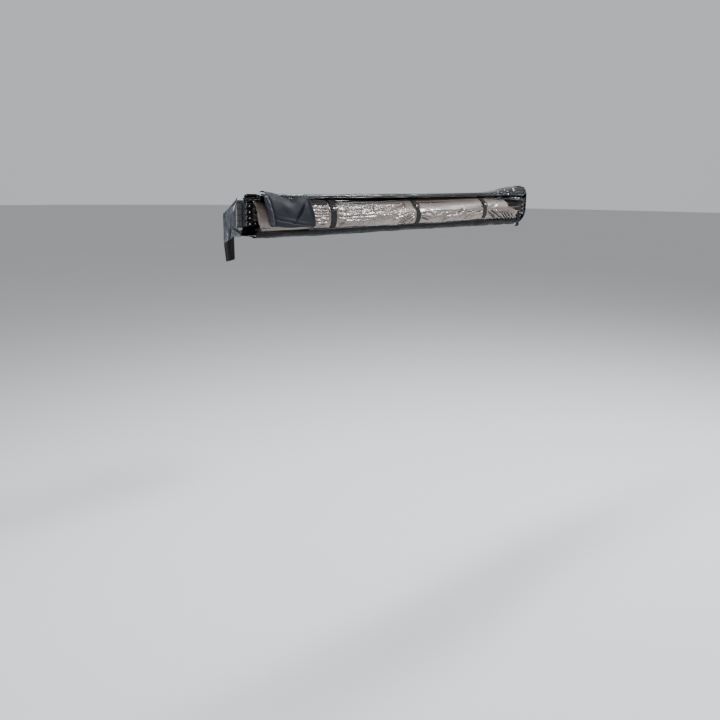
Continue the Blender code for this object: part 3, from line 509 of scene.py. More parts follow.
# Painted highlight: the hem's slate is drawn lighter than the flap's, standing in for the light along the
# rolled hem.
SLATE_HEM_HIGHLIT = coated_pvc("slate_pvc_hem_painted_highlight", rgb(0.046, 0.050, 0.062), rgb(0.026, 0.029, 0.038), 0.5,
                       0.0012, shine=0.3)
TAIL_GREY = coated_pvc("tail_pvc", rgb(0.14, 0.148, 0.178), rgb(0.072, 0.078, 0.098), 0.28, 0.0010,
                       coat=0.9, along=1.6)
TAIL_BLACK = coated_pvc("tail_lining", rgb(0.026, 0.0205, 0.0225), rgb(0.015, 0.012, 0.014), 0.55,
                        shine=0.25)
WEBBING = woven_strap("black_webbing", rgb(0.008, 0.008, 0.009), rgb(0.022, 0.022, 0.023))
HOOK_TAPE = woven_strap("hook_tape", rgb(0.012, 0.012, 0.014), rgb(0.030, 0.030, 0.034))
STEEL = bare_metal("buckle_steel", rgb(0.24, 0.24, 0.25), rgb(0.16, 0.16, 0.16), 0.42)
STITCHING = woven_strap("pale_stitching", rgb(0.11, 0.11, 0.12), rgb(0.2, 0.2, 0.21))
BINDING = woven_strap("bag_binding", rgb(0.02, 0.021, 0.025), rgb(0.05, 0.052, 0.06))
BLACK_METAL = powder_coat("black_powder_coat", rgb(0.014, 0.014, 0.016), rgb(0.035, 0.035, 0.037))
BLACK_ALUMINIUM = powder_coat("black_aluminium", rgb(0.02, 0.02, 0.022),
                              rgb(0.045, 0.045, 0.048), 0.36)
CAST = bare_metal("grey_cast_metal", rgb(0.11, 0.113, 0.122), rgb(0.06, 0.06, 0.066), 0.36,
                  scale=260.0, depth=0.0003)
ANODISED = bare_metal("anodised_aluminium", rgb(0.6, 0.61, 0.63), rgb(0.45, 0.46, 0.48), 0.3,
                      (0.02, 1, 1))
ZINC = bare_metal("zinc", rgb(0.78, 0.78, 0.8), rgb(0.55, 0.54, 0.5), 0.2)
DARK_ZINC = bare_metal("dark_zinc", rgb(0.13, 0.13, 0.14), rgb(0.05, 0.05, 0.055), 0.24)
PLASTIC = moulded("black_plastic", rgb(0.016, 0.016, 0.017), rgb(0.04, 0.04, 0.042))
NYLON = moulded("pale_nylon", rgb(0.72, 0.71, 0.67), rgb(0.5, 0.49, 0.46), 0.42)

FINISHES = {"black_powder_coat": BLACK_METAL, "black_aluminium": BLACK_ALUMINIUM,
            "grey_cast_metal": CAST, "anodised_aluminium": ANODISED, "zinc": ZINC,
            "black_plastic": PLASTIC, "pale_nylon": NYLON, "taupe_canopy": TAUPE,
            "black_pvc": BLACK_PVC, "slate_pvc": SLATE, "black_webbing": WEBBING}


def dress_frame():
    """Every carried-over CAD node takes the finish of its record slot."""
    for row in frame["record"]["subparts"]:
        for slot in frame["nodes"][row["node"]].material_slots:
            slot.material = FINISHES[row["material_slot"]]
    for slot in frame["nodes"]["pivot_bolt"].material_slots:
        slot.material = DARK_ZINC


dress_frame()


# The bundle's outer face, shared by the canopy's outer fold, the cover's edge and the straps

# How far it swells between the straps, and each span's start, stop and share of that
BULGE = 0.009
SPANS = ((0.05, 0.536, 0.0), (0.536, 1.208, 1.0), (1.208, 1.851, 1.0), (1.851, 2.36, 0.8))

# Folds of the face: x, z, x, z, half width and height, in tenths of a millimetre
FACE_FOLDS = np.array((
    # Between the flap and the rear strap: short crisp creases
    (4090, 1366, 5050, 1413, 26, 45), (4120, 1229, 4640, 1252, 24, 45),
    (4740, 1224, 5080, 1278, 24, 45), (4050, 1063, 4480, 1088, 24, 42),
    (4600, 1073, 5070, 1113, 26, 45), (4080, 934, 4660, 942, 24, 40), (4670, 759, 5060, 826, 24, 45),
    (4090, 764, 4610, 708, 26, 40), (4220, 593, 4910, 619, 26, 42), (4310, 468, 4880, 487, 24, 40),
    (4070, 1291, 5020, 1331, 22, -40), (4060, 1150, 5040, 1181, 22, -40),
    (4090, 996, 5060, 1009, 22, -40), (4110, 852, 5020, 896, 22, -40), (4180, 667, 5040, 695, 22, -40),
    # In front of the rear strap: long creases where the cloth was once folded flat
    (5820, 1190, 6350, 1243, 26, 55), (6430, 1252, 6800, 1207, 24, 50),
    (7210, 1257, 7450, 1257, 24, 45), (7550, 1292, 7890, 1329, 24, 45),
    (6070, 1362, 7770, 1417, 20, 30), (5800, 1138, 6400, 1179, 20, -40),
    (6480, 1188, 7510, 1208, 20, -35), (8190, 1430, 8090, 1152, 30, 35),
    (8420, 1399, 8310, 1060, 30, 35), (8310, 1418, 8190, 1106, 25, -35),
    (5680, 1020, 6140, 939, 24, 45), (6150, 978, 6540, 926, 24, 45), (6600, 999, 6980, 957, 22, 40),
    (7070, 1019, 7490, 976, 22, 40), (5720, 1077, 7460, 1069, 20, -30), (5680, 899, 6290, 863, 20, -35),
    (6360, 882, 8410, 915, 20, -30), (5680, 819, 8400, 832, 22, 30), (5910, 742, 8260, 741, 22, -25),
    (6080, 673, 7950, 661, 25, 25), (5790, 387, 6230, 563, 35, 50), (5730, 512, 6120, 639, 30, -50),
    (6020, 434, 6650, 560, 35, -35), (6740, 411, 7720, 455, 60, 30),
    # Up to the middle strap: the creases turn back on themselves, above a fan of folds
    (8590, 1402, 10700, 1431, 20, 30), (8510, 1262, 9600, 1251, 24, 42),
    (9690, 1260, 10920, 1270, 24, 42), (8550, 1337, 10520, 1334, 20, -30),
    (8460, 1171, 9200, 1149, 24, 40), (9300, 1169, 10240, 1160, 24, 40),
    (8480, 1214, 10610, 1203, 20, -35), (11160, 1490, 11050, 1188, 32, 45),
    (10870, 1461, 10790, 1250, 28, -38), (11040, 1481, 10930, 1225, 26, 30),
    (8430, 1079, 10100, 1063, 24, -35), (8420, 991, 10520, 974, 26, 30),
    (11780, 930, 10300, 341, 45, 75), (11700, 769, 10710, 374, 40, 60),
    (11840, 1021, 10840, 806, 38, 55), (11750, 850, 10400, 373, 38, -85),
    (11440, 938, 10450, 643, 35, -60), (11670, 675, 11400, 347, 35, -60),
    (10930, 850, 9940, 624, 50, 40),
    # The front span: a fan at the strap, then slack that hangs in short slanting folds
    (12350, 787, 13240, 548, 35, 60), (12360, 857, 13310, 752, 30, 50),
    (12420, 973, 13010, 1030, 36, 26), (12370, 703, 12940, 581, 30, -65),
    (12400, 909, 13170, 923, 30, -45), (13320, 728, 14100, 853, 45, 50),
    (13450, 785, 14070, 926, 30, -45), (12960, 1046, 13700, 730, 40, 40),
    (14180, 519, 15090, 792, 45, 55), (14380, 462, 14700, 629, 30, -50),
    (14280, 1041, 14650, 937, 30, -40), (15430, 858, 16170, 1051, 34, -95),
    (15630, 828, 16330, 1011, 36, 60), (16530, 869, 17310, 1003, 34, -95),
    (16710, 827, 17440, 962, 36, 60), (17520, 833, 18240, 975, 34, -90),
    (17810, 785, 18330, 902, 32, 55), (13340, 1073, 17790, 1067, 40, 14),
    (16260, 455, 17380, 631, 45, 50), (14680, 691, 15970, 795, 40, 45),
    (15330, 561, 16080, 716, 30, -45), (16340, 583, 17120, 728, 30, -45),
    # In front of the front strap: tight gathers that run down to the sling
    (18830, 904, 19850, 400, 28, -95), (19120, 965, 20620, 440, 28, -100),
    (19750, 600, 20400, 300, 24, -80), (19900, 930, 21100, 400, 22, -50),
    (20300, 880, 21500, 330, 22, -42), (20520, 915, 21900, 310, 24, -60),
    (20950, 900, 22050, 400, 22, -40), (18970, 945, 20160, 400, 36, 70),
    (19350, 950, 20500, 500, 36, 80), (19670, 945, 20920, 400, 40, 85),
    (20080, 920, 21320, 350, 36, 75), (20410, 915, 21700, 320, 34, 85),
    (20750, 915, 22000, 350, 36, 70), (21190, 934, 22160, 430, 30, 60),
    (19630, 279, 19740, 820, 20, 30), (19300, 1150, 20800, 1590, 100, -18),
    (19900, 1150, 21100, 1520, 100, 8), (18920, 1237, 19600, 1262, 50, 14),
)) / 10000


# Outlines of the bundle under its three straps, from the rail over the outboard side and in below
OUTLINES = (
    (0.536, ((-0.053, 0.1765), (-0.100, 0.1767), (-0.140, 0.1762), (-0.163, 0.1640), (-0.1815, 0.1420),
             (-0.1905, 0.1150), (-0.1920, 0.0850), (-0.1850, 0.0520), (-0.1680, 0.0300), (-0.136, 0.0170))),
    (1.208, ((-0.053, 0.1765), (-0.088, 0.1767), (-0.122, 0.1760), (-0.145, 0.1590), (-0.1680, 0.1340),
             (-0.1860, 0.1070), (-0.1915, 0.0830), (-0.1860, 0.0560), (-0.1670, 0.0300), (-0.134, 0.0170))),
    (1.851, ((-0.053, 0.1765), (-0.098, 0.1767), (-0.136, 0.1762), (-0.165, 0.1590), (-0.1840, 0.1390),
             (-0.1935, 0.1130), (-0.1940, 0.0850), (-0.1880, 0.0600), (-0.1700, 0.0370), (-0.136, 0.0180))),
)
# How high the loose hem of the bag's cover hangs along the bundle
HEM = ((0.05, 0.1690), (0.11, 0.1670), (0.17, 0.155), (0.62, 0.152), (0.90, 0.154), (1.04, 0.1600),
       (1.106, 0.1634), (1.145, 0.1680), (1.24, 0.1690), (1.405, 0.1712), (1.70, 0.1722), (1.83, 0.1742),
       (1.89, 0.1686), (1.988, 0.1627), (2.057, 0.1545), (2.12, 0.1600), (2.20, 0.1560), (2.30, 0.1480),
       (2.40, 0.1430))


def spline(points, count):
    """A smooth curve through points, evenly spread by length."""
    points = np.asarray(points, float)
    padded = np.concatenate([2 * points[:1] - points[1:2], points, 2 * points[-1:] - points[-2:-1]])
    t = np.linspace(0, 1, 12, endpoint=False)[:, None]
    curve = []
    for i in range(len(points) - 1):
        a, b, c, d = padded[i:i + 4]
        curve.append(0.5 * (2 * b + (c - a) * t + (2 * a - 5 * b + 4 * c - d) * t ** 2
                            + (3 * b - 3 * c + d - a) * t ** 3))
    return resample(np.concatenate(curve + [points[-1:]]), count)


def outlines(xs, count):
    """The bundle's outline at places along it, blended between those under the straps."""
    stations = [at for at, _ in OUTLINES]
    curves = np.array([spline(points, count) for _, points in OUTLINES])
    where = np.interp(xs, stations, [0, 1, 2])
    first = np.minimum(where.astype(int), 1)
    share = (where - first)[:, None, None]
    share = share * share * (3 - 2 * share)
    return curves[first] * (1 - share) + curves[first + 1] * share


def bulge(x):
    """How far the bundle swells between its straps."""
    total = np.zeros_like(x)
    for start, stop, share in SPANS:
        t = np.clip((x - start) / (stop - start), 0, 1)
        total = total + share * BULGE * np.sin(math.pi * t) ** 0.7
    return total


def strap_pinch(x):
    """1 under a strap and 0 well away from it."""
    total = np.zeros_like(x)
    for at in STRAPS_X:
        total = total + smooth(0.050, 0.020, np.abs(x - at))
    return np.clip(total, 0, 1)


def crinkle(x, z):
    """Sharp creases along the cloth, where it was folded small before it was wrapped."""
    warp = 0.9 * noise(x / 0.11, z / 0.03, 23)
    ridges = 1 - np.abs(noise(x / 0.075 + warp, z / 0.0085 + 1.4 * warp, 24)) * 2.2
    short = 1 - np.abs(noise(x / 0.035, z / 0.006 + warp, 25)) * 2.2
    return np.clip(ridges, -0.4, 1) + 0.45 * np.clip(short, -0.4, 1)


def face_height(x, z, outward):
    """The height of the bundle's face over its plain outline; outward is 1 where it faces out."""
    free = (1 - strap_pinch(x)) * smooth(0.385, 0.42, x)
    body = bulge(x) * np.sin(math.pi * np.clip((z - 0.012) / 0.16, 0, 1)) ** 0.8
    folds = strokes(x, z, FACE_FOLDS, 0.003) * (1.15 + 0.55 * smooth(1.86, 1.90, x))
    slack = 0.0036 * (crumple(x / 0.15, z / 0.05, 11) - 0.45) * smooth(0.13, 0.08, z)
    small = smooth(1.20, 1.0, x) * smooth(0.050, 0.080, z) * smooth(0.152, 0.140, z)
    small = np.maximum(small, smooth(0.52, 0.49, x) * smooth(0.03, 0.05, z))
    fine = 0.0016 * crinkle(x, z) * small
    fine = fine + (0.0005 + 0.0008 * small) * (crumple(x / 0.06, z / 0.018, 21, 2) - 0.45)
    under_cover = smooth(0.178, 0.166, z)
    high = body * smooth(0.40, 0.5, x) + free * (folds + slack + fine)
    return outward ** 0.8 * under_cover * np.maximum(high, -0.008)


def normals_out(path):
    """The directions square to a section's path, out of the bundle."""
    slope = np.gradient(path, axis=-2)
    slope /= np.linalg.norm(slope, axis=-1)[..., None]
    out = np.stack([slope[..., 1], -slope[..., 0]], -1)
    side = out[..., 0]
    facing = np.take_along_axis(side, np.abs(side).argmax(-1)[..., None], -1)
    return out * -np.sign(facing)[..., None]


def lifted(x, section, lift=0.0):
    """Outlines moved out by the height of the face there and a lift off the cloth."""
    out = normals_out(section)
    z = section[..., 1]
    x = np.broadcast_to(x[:, None], z.shape)
    high = face_height(x, z, np.clip(-out[..., 0], 0, 1)) + lift
    return np.stack([x, section[..., 0] + out[..., 0] * high, z + out[..., 1] * high], -1)


# Where the outer fold ends along the bundle, at each height
WRAP_REAR = ((0.017, 0.092), (0.025, 0.087), (0.050, 0.066), (0.075, 0.054), (0.110, 0.048),
             (0.141, 0.047), (0.165, 0.048), (0.180, 0.050))
WRAP_FRONT = ((0.016, 2.236), (0.028, 2.234), (0.054, 2.205), (0.085, 2.212), (0.103, 2.150),
              (0.114, 2.106), (0.145, 2.098), (0.165, 2.078), (0.177, 2.060))
WRAP_START, WRAP_LONG, WRAP_END = 0.060, 2.150, 2.210


def canopy_wrap():
    """The canopy's outer fold, drawn round the bundle and gathered by the straps."""
    count, steps = 720, 170
    share = np.linspace(0, 1, count)
    xs = WRAP_START + WRAP_LONG * share
    section = outlines(xs, steps)
    grid = lifted(xs, section)
    z = grid[..., 2]
    dent = valleys(face_height(xs[:, None] + 0 * z, section[..., 1], np.ones_like(z)), (3, 6))
    # Painted shade for the colour: the deeper a point lies in a fold, the darker the cloth is drawn.
    crease = np.clip((dent - 0.35) / 1.7, 0, 0.85) * smooth(0.385, 0.42, xs)[:, None]
    drop = np.clip((BUNDLE_TOP - z) / 0.160, 0, 1)
    begin = np.interp(z, *zip(*WRAP_REAR)) + 0.002 * np.sin(9 * drop)
    begin = begin + 0.045 * smooth(-0.150, -0.105, grid[..., 1]) * smooth(0.09, 0.12, z)
    end = np.interp(z, *zip(*WRAP_FRONT)) + 0.006 * noise(z / 0.016, 0.5, 27)
    near = smooth(0.5, 0.0, share)[:, None] ** 3
    far = smooth(0.86, 1.0, share)[:, None]
    grid[..., 0] += (begin - WRAP_START) * near + (end - WRAP_END) * far
    turned = smooth(0.075, 0.0, grid[..., 0] - begin)
    grid[..., 1] += 0.008 * turned * np.sin(math.pi * np.clip(drop, 0, 1)) ** 0.5
    curl = smooth(0.06, 0.0, end - grid[..., 0]) * smooth(0.13, 0.10, z)
    grid[..., 1] -= 0.006 * curl * (0.4 + noise(z / 0.014, 0.2, 29))
    hem = 1 + 1.1 * smooth(0.046, 0.043, grid[..., 0] - begin)
    wrap = shell("canopy_outer_fold", grid, CLOTH_THICK * hem, TAUPE, crease=crease)
    place(wrap, stands_for="canopy_wrap")
    flatten(wrap)


def loose_corner():
    """The canopy's free corner, crumpled beyond the front strap, drawn in black PVC as painted shade where
    it hangs in the dark under the bag's end.
    """
    down = np.linspace(0, 1, 60)[None, :]
    across = np.linspace(0, 1, 40)[:, None]
    left = 2.240 + 0.028 * down ** 1.2 + 0.004 * np.sin(9 * down)
    right = 2.286 + 0.010 * np.sin(2.6 * down) - 0.004 * down
    x = left + (right - left) * across
    z = 0.074 - 0.088 * down + 0.010 * across * (1 - down) - 0.007 * np.sin(5 * across) * down
    fold = 0.009 * np.sin(8.5 * across + 3.5 * down) * (0.4 + 0.6 * down)
    fold = fold - 0.009 * (crumple(across * 1.2, down * 2.4, 28, 2) - 0.4)
    y = -0.172 + 0.030 * (down - 0.3) ** 2 - fold
    # Black PVC on the canopy's corner is painted shade.
    corner = shell("canopy_loose_corner", (x, y, z), CLOTH_THICK, BLACK_PVC)
    place(corner)
    flatten(corner)


# The cover's edge where it leaves the rail's top, as (y, z)
FIXED_EDGE = ((-0.0540, 0.1900), (-0.0543, 0.1850), (-0.0560, 0.1790))


def cover_edge():
    """The loose edge of the bag's cover, over the bundle's outboard corner, with a rolled hem."""
    xs = np.linspace(0.058, 2.398, 480)
    steps = 70
    whole = outlines(xs, 200)
    hem = np.interp(xs, *zip(*HEM)) + 0.0010 * noise(xs / 0.05, 0.5, 31)
    rows = []
    for row, low in zip(whole, hem):
        start = np.argmax(row[:, 0] < -0.060)
        stop = np.argmax((row[:, 1] < low) & (row[:, 0] < -0.12))
        rows.append(resample(np.concatenate([FIXED_EDGE, row[start:stop + 1]]), steps))
    grid = lifted(xs, np.array(rows), 0.0024)
    share = np.linspace(0, 1, steps)[None, :]
    x = xs[:, None]
    free = (1 - strap_pinch(x)) * (1 - 0.85 * smooth(0.360, 0.378, x) * smooth(0.520, 0.502, x))
    above = grid[..., 2] - hem[:, None] + 0.0015 * np.sin(7 * x) * smooth(0.4, 0.7, share)
    face = smooth(-0.118, -0.140, grid[..., 1])
    proud = 0.0030 * hump(above, 0.0075, 0.0032) - 0.0026 * hump(above, 0.0148, 0.0026)
    proud = proud + 0.0024 * hump(above, 0.0210, 0.0030) - 0.0014 * hump(above, 0.0270, 0.0028)
    proud = proud + 0.0012 * share ** 2 * (1 + noise(x / 0.12, share * 2, 33))
    proud = free * face * (proud + 0.0010 * crumple(x / 0.09, share * 1.6, 35))
    grid[..., 1] -= 0.7 * np.maximum(proud, -0.0018)
    grid[..., 2] += 0.6 * np.maximum(proud, -0.0018)
    roped = 1 + 1.4 * smooth(0.955, 0.965, share) + 1.2 * smooth(0.068, 0.064, x)
    front = smooth(2.20, 2.30, x)
    grid[..., 1] += 0.052 * smooth(2.28, 2.40, x) * share
    grid[..., 1] -= front * share * 0.010 * (crumple(x / 0.06, share * 2.5, 37) - 0.55)
    grid[..., 2] += front * share * 0.008 * (crumple(x / 0.05, share * 2, 38) - 0.5)
    edge = shell("cover_edge", grid, CLOTH_THICK * roped, EDGE_PVC)
    place(edge, stands_for="bag_apron")
    flatten(edge)


# The bag

def roll_height(x):
    """The rolled cover's height along the bag, swelling towards its front end."""
    ripple = 0.0012 * np.sin(3.1 * x + 0.6) + 0.0008 * np.sin(8.3 * x)
    return 0.0243 + 0.039 * np.exp(-((x - 2.290) / 0.153) ** 2 / 2) + ripple


def cover_roll():
    """The bag's cover, rolled up on the bundle in a flat spiral whose layers show at its end."""
    turns, steps = 2.35, 200
    xs = np.linspace(0.062, 2.332, 560)
    angle = np.linspace(0, 1, steps)[None, :] * turns * TAU
    x = xs[:, None]
    low = 0.1802 + 0.0026 * strap_pinch(x) - 0.0012 * smooth(0.20, 0.10, x)
    high = ROLL_Z + roll_height(x) + 0.0020 * smooth(0.25, 0.10, x) - low
    depth = 0.112
    inset = (angle / TAU) * np.minimum(high * 0.17, 0.0085)
    turn = (math.radians(-62) + angle) % TAU
    square = smooth(0.30, 0.10, x)
    swell = smooth(1.90, 2.25, x)
    wide = blunt(np.cos(turn), 0.46 - 0.08 * square + 0.16 * swell)
    tall = blunt(np.sin(turn), 0.60 - 0.20 * square + 0.20 * swell)
    around = angle / TAU % 1.0
    drift = 0.35 * noise(x / 0.35, 3.0 * around, 40)
    billow = 0.5 - crumple(x / (0.34 - 0.10 * swell) + drift, 5.0 * around + 1.6 * drift, 41, 2)
    small = 0.4 - crumple(x / 0.16, 11.0 * around + 2 * drift, 45, 2)
    groove = hump(turn, math.radians(342) + 0.10 * np.sin(4 * x), 0.12)
    groove = groove + 0.9 * hump(turn, math.radians(30) + 0.12 * np.sin(3 * x + 2), 0.12)
    groove = groove - 0.7 * hump(turn, math.radians(8) + 0.11 * np.sin(4 * x + 1), 0.10)
    long = noise(x / 0.45, 9.0 * around, 47) + 0.6 * noise(x / 0.25, 19.0 * around, 48)
    radial = billow * (0.0026 + 0.0125 * swell) + small * (0.0006 + 0.0028 * swell)
    radial = radial + 0.0017 * long * (1 - 0.6 * swell)
    radial = radial - 0.0050 * groove * (1 - 0.5 * swell)
    radial = radial * smooth(0, 0.12, np.abs(turn - math.radians(270)) / math.pi)
    y = -0.117 - (depth / 2 - inset * 1.15 + radial) * wide
    z = low + high / 2 + (high / 2 - inset + np.minimum(radial, 0.003) * 0.55 - 0.0012) * tall
    z = np.maximum(z, low + 0.0009 + inset * 0.8)
    rear = smooth(0.15, 0.070, x)
    end = (0.006 - 0.012 * around + 0.005 * np.sin(2.3 * angle)) * rear
    hem = 1 + 1.2 * smooth(0.012, 0.010, x - xs[0])
    roll = shell("rolled_cover", (x + end, y, z), BAG_THICK * hem, ROLL_PVC)
    place(roll, stands_for="bag_roll")


def bag_floor():
    """The bag's floor, folded double under the bundle, its slack lip drawn up the outboard side."""
    xs = np.linspace(0.045, 2.236, 420)
    steps = 90
    upper = [(RAIL_FRONT - 0.001, 0.0112), (-0.120, 0.0112), (-0.146, 0.0142), (-0.163, 0.0228),
             (-0.174, 0.0318)]
    lower = [(-0.1765, 0.0300), (-0.1755, 0.0180), (-0.168, 0.0050), (-0.152, -0.0028),
             (-0.110, -0.0032), (RAIL_FRONT - 0.001, -0.0032)]
    section = spline(upper + lower, steps)
    out = normals_out(section)
    x = xs[:, None]
    share = np.linspace(0, 1, steps)[None, :]
    nose = smooth(0.40, 0.50, share) * smooth(0.86, 0.70, share)
    free = 1 - 0.5 * strap_pinch(x)
    loose = 0.45 + 0.55 * smooth(1.7, 2.1, x)
    fold = 0.004 * noise(x / 0.25, 0.3, 51) + 0.006 * (crumple(x / 0.13, share * 4, 53) - 0.4) * loose
    crease = -0.0030 * hump(share, 0.60 + 0.015 * np.sin(5 * x), 0.016)
    crease = crease - 0.0020 * hump(share, 0.68 + 0.012 * np.sin(7 * x + 1), 0.014)
    high = np.maximum(nose * free * (fold + crease), -0.004)
    y = section[:, 0] + out[:, 0] * high
    lip = smooth(0.30, 0.44, share) * smooth(0.60, 0.48, share)
    rise = 0.0065 * smooth(1.45, 1.75, x) - 0.003 * smooth(0.5, 0.1, x)
    z = section[:, 1] + out[:, 1] * high + lip * (rise + 0.0016 * noise(x / 0.18, 0.7, 55))
    y = y - lip * rise * 0.35
    shut = smooth(0.13, 0.050, x) * smooth(0.60, 0.75, share)
    z = z + shut * (0.0085 - z)
    z = z - 0.0010 * (1 + np.sin(6 * x)) * smooth(0.75, 0.85, share)
    floor = shell("bag_floor", (x, y, z), BAG_THICK, FLOOR_PVC)
    place(floor, stands_for="bag_sling")


# Where the end wall stands, its top, and where the roll ends behind it
END_WALL, END_TOP = 2.4155, 0.222
ROLL_END = 2.33


def front_end():
    """The bag's closed front end: the cover's crumpled hood, the end wall and its piping."""
    start = 2.322
    count, steps = 46, 160
    share = np.linspace(0, 1, count)[:, None]
    x = start + (END_WALL - start) * share
    angle = np.linspace(0, TAU, steps, endpoint=False)[None, :]
    wide = blunt(np.cos(angle), 0.72)
    tall = blunt(np.sin(angle), 0.82)
    high0 = roll_height(ROLL_END) + 0.0010
    high = high0 + (END_TOP - ROLL_Z - 0.004 - high0) * smooth(0.25, 1.0, share)
    front = -0.1745 + (0.1745 - 0.131) * smooth(0.1, 1.0, share)
    back = -0.0595
    middle, depth = (front + back) / 2, back - front
    rough = smooth(0.0, 0.2, share) * smooth(1.0, 0.8, share)
    fold = (0.15 - crumple(share * 1.3, angle / TAU * 6, 61, 2)) * 0.012
    fold = fold + (0.2 - crumple(share * 2, angle / TAU * 11, 63, 2)) * 0.003
    y = middle - (depth / 2 + fold * rough) * wide
    z = ROLL_Z + high / 2 + (high / 2 + fold * rough * 0.8) * tall
    z = np.maximum(z, ROLL_Z + 0.0008)
    hood = shell("bag_hood", (x, y, z), FLAP_THICK, BLACK_PVC, loop=True)
    back, front, low, bend = -0.0445, -0.130, -0.0030, 0.030
    outline = [(back, low), (back, END_TOP)]
    outline += arc((front + bend, END_TOP - bend), bend, 90, 180, 10)
    turns = np.radians(np.linspace(180, 270, 18))
    outline += [(-0.056 + 0.074 * math.cos(a), 0.100 + 0.103 * math.sin(a)) for a in turns]
    edge = resample(outline + [(back, low)], 161)[:-1]
    centre = np.array((-0.085, 0.115))
    rings = []
    for out in np.linspace(0.02, 1.0, 40):
        ring = centre + (edge - centre) * out
        dome = 0.0055 * (1 - out ** 2)
        crease = crumple(ring[:, 0] / 0.05, ring[:, 1] / 0.045, 71) - 0.5
        wall_x = 2.4160 + dome + 0.0030 * crease * (1 - out ** 6)
        rings.append(np.stack([wall_x, ring[:, 0], ring[:, 1]], -1))
    wall = shell("bag_end_wall", rings, FLAP_THICK, BLACK_PVC, loop=True)
    line = np.concatenate([edge[36:], edge[:4]])
    path = np.insert(line, 0, HINGE_X + END_WALL, axis=1)
    piping = gather("bag_end_piping", [rod(path, 0.0034, 10)], BINDING)
    place(hood)
    place(wall, stands_for="bag_end_cap")
    place(piping)


def tail_flap():
    """The bag's open rear end, hanging loose behind the hinge, grey outside and black below."""
    turn = math.radians(55)
    start = (0.0327, -0.043)
    top = ROLL_Z + 0.0100

    def sheet(name, lows, highs, back, material, seed):
        across = np.linspace(0, 1, 70)[:, None]
        down = np.linspace(lows, highs, 130)[None, :]
        fall = 0.080 * across ** 0.8
        wave = 0.010 * across * np.sin(TAU * across + 3 * down)
        pleat = 0.0085 * np.sin(TAU * (1.35 * across + 0.35 * down) + 1.2) * smooth(0.02, 0.5, down)
        crease = 0.007 * (0.5 - crumple(across * 1.5, down * 1.3, seed, 2)) * smooth(0, 0.15, down)
        off = wave + pleat * smooth(0, 0.5, across) + crease * smooth(0, 0.2, across) + back
        width = 0.074 * across * (1 - 0.10 * smooth(0.6, 1.0, down))
        drift = (0.009 * smooth(0.02, 0.2, down) + 0.016 * smooth(0.44, 0.64, down)) * (1 - across)
        x = start[0] - width * math.cos(turn) - off * math.sin(turn) - drift
        y = start[1] + width * math.sin(turn) - off * math.cos(turn)
        z = top - fall - (0.300 - fall * 0.8) * down + 0 * across
        hem = 1 + 1.2 * (smooth(0.06, 0.04, across) + smooth(0.94, 0.96, across))
        return shell(name, (x, y, z), BAG_THICK * hem, material)
    upper = sheet("tail_flap_outside", 0.0, 0.62, 0.0, TAIL_GREY, 81)
    lower = sheet("tail_flap_lining", 0.58, 1.0, -0.0022, TAIL_BLACK, 81)
    for piece, size, node in ((upper, (0.08, 0.19), "bag_tail_flap"), (lower, (0.08, 0.115), None)):
        place(piece, stands_for=node)
        flatten(piece)


def tail_corner():
    """The tail's inner corner, drawn forward below the hinge to the bag's floor."""
    across = np.linspace(0, 1, 44)[:, None]
    down = np.linspace(0, 1, 44)[None, :]
    x = -0.006 + 0.050 * across - 0.004 * down
    top = 0.0510 - 0.0200 * across + 0.002 * np.sin(6 * across)
    z = top + (0.0030 - top) * down
    bow = 0.006 * np.sin(math.pi * across) * np.sin(math.pi * down)
    y = -0.0455 - 0.0120 * across - bow + 0.005 * (crumple(across * 0.9, down * 0.9, 85, 2) - 0.4)
    hem = 1 + 1.2 * (smooth(0.07, 0.05, down) + smooth(0.93, 0.95, down))
    corner = shell("tail_flap_corner", (x, y, z), BAG_THICK * hem, TAIL_GREY)
    place(corner)
    flatten(corner)


# The flap's folds, its top edge along its width, and its fall down the face
FLAP_FOLDS = (
    (0.340, 0.153, 0.282, 0.076, 0.0065, 0.0085), (0.328, 0.155, 0.270, 0.083, 0.0075, -0.0040),
    (0.363, 0.192, 0.373, 0.158, 0.0050, 0.0045), (0.148, 0.096, 0.388, 0.056, 0.0050, 0.0055),
    (0.146, 0.089, 0.392, 0.049, 0.0055, -0.0055), (0.187, 0.168, 0.255, 0.128, 0.0200, 0.0022),
    (0.236, 0.180, 0.290, 0.165, 0.0080, -0.0025),
)
FLAP_TOP = ((0.0, 0.2235), (0.16, 0.2185), (0.36, 0.2090), (0.50, 0.1965), (0.59, 0.1860),
            (0.66, 0.1885), (0.80, 0.1985), (0.94, 0.2040), (1.0, 0.1990))
FLAP_FALL = ((0.0, -0.1780), (0.10, -0.1875), (0.25, -0.1935), (0.50, -0.1990), (0.80, -0.1990),
             (1.0, -0.1950))


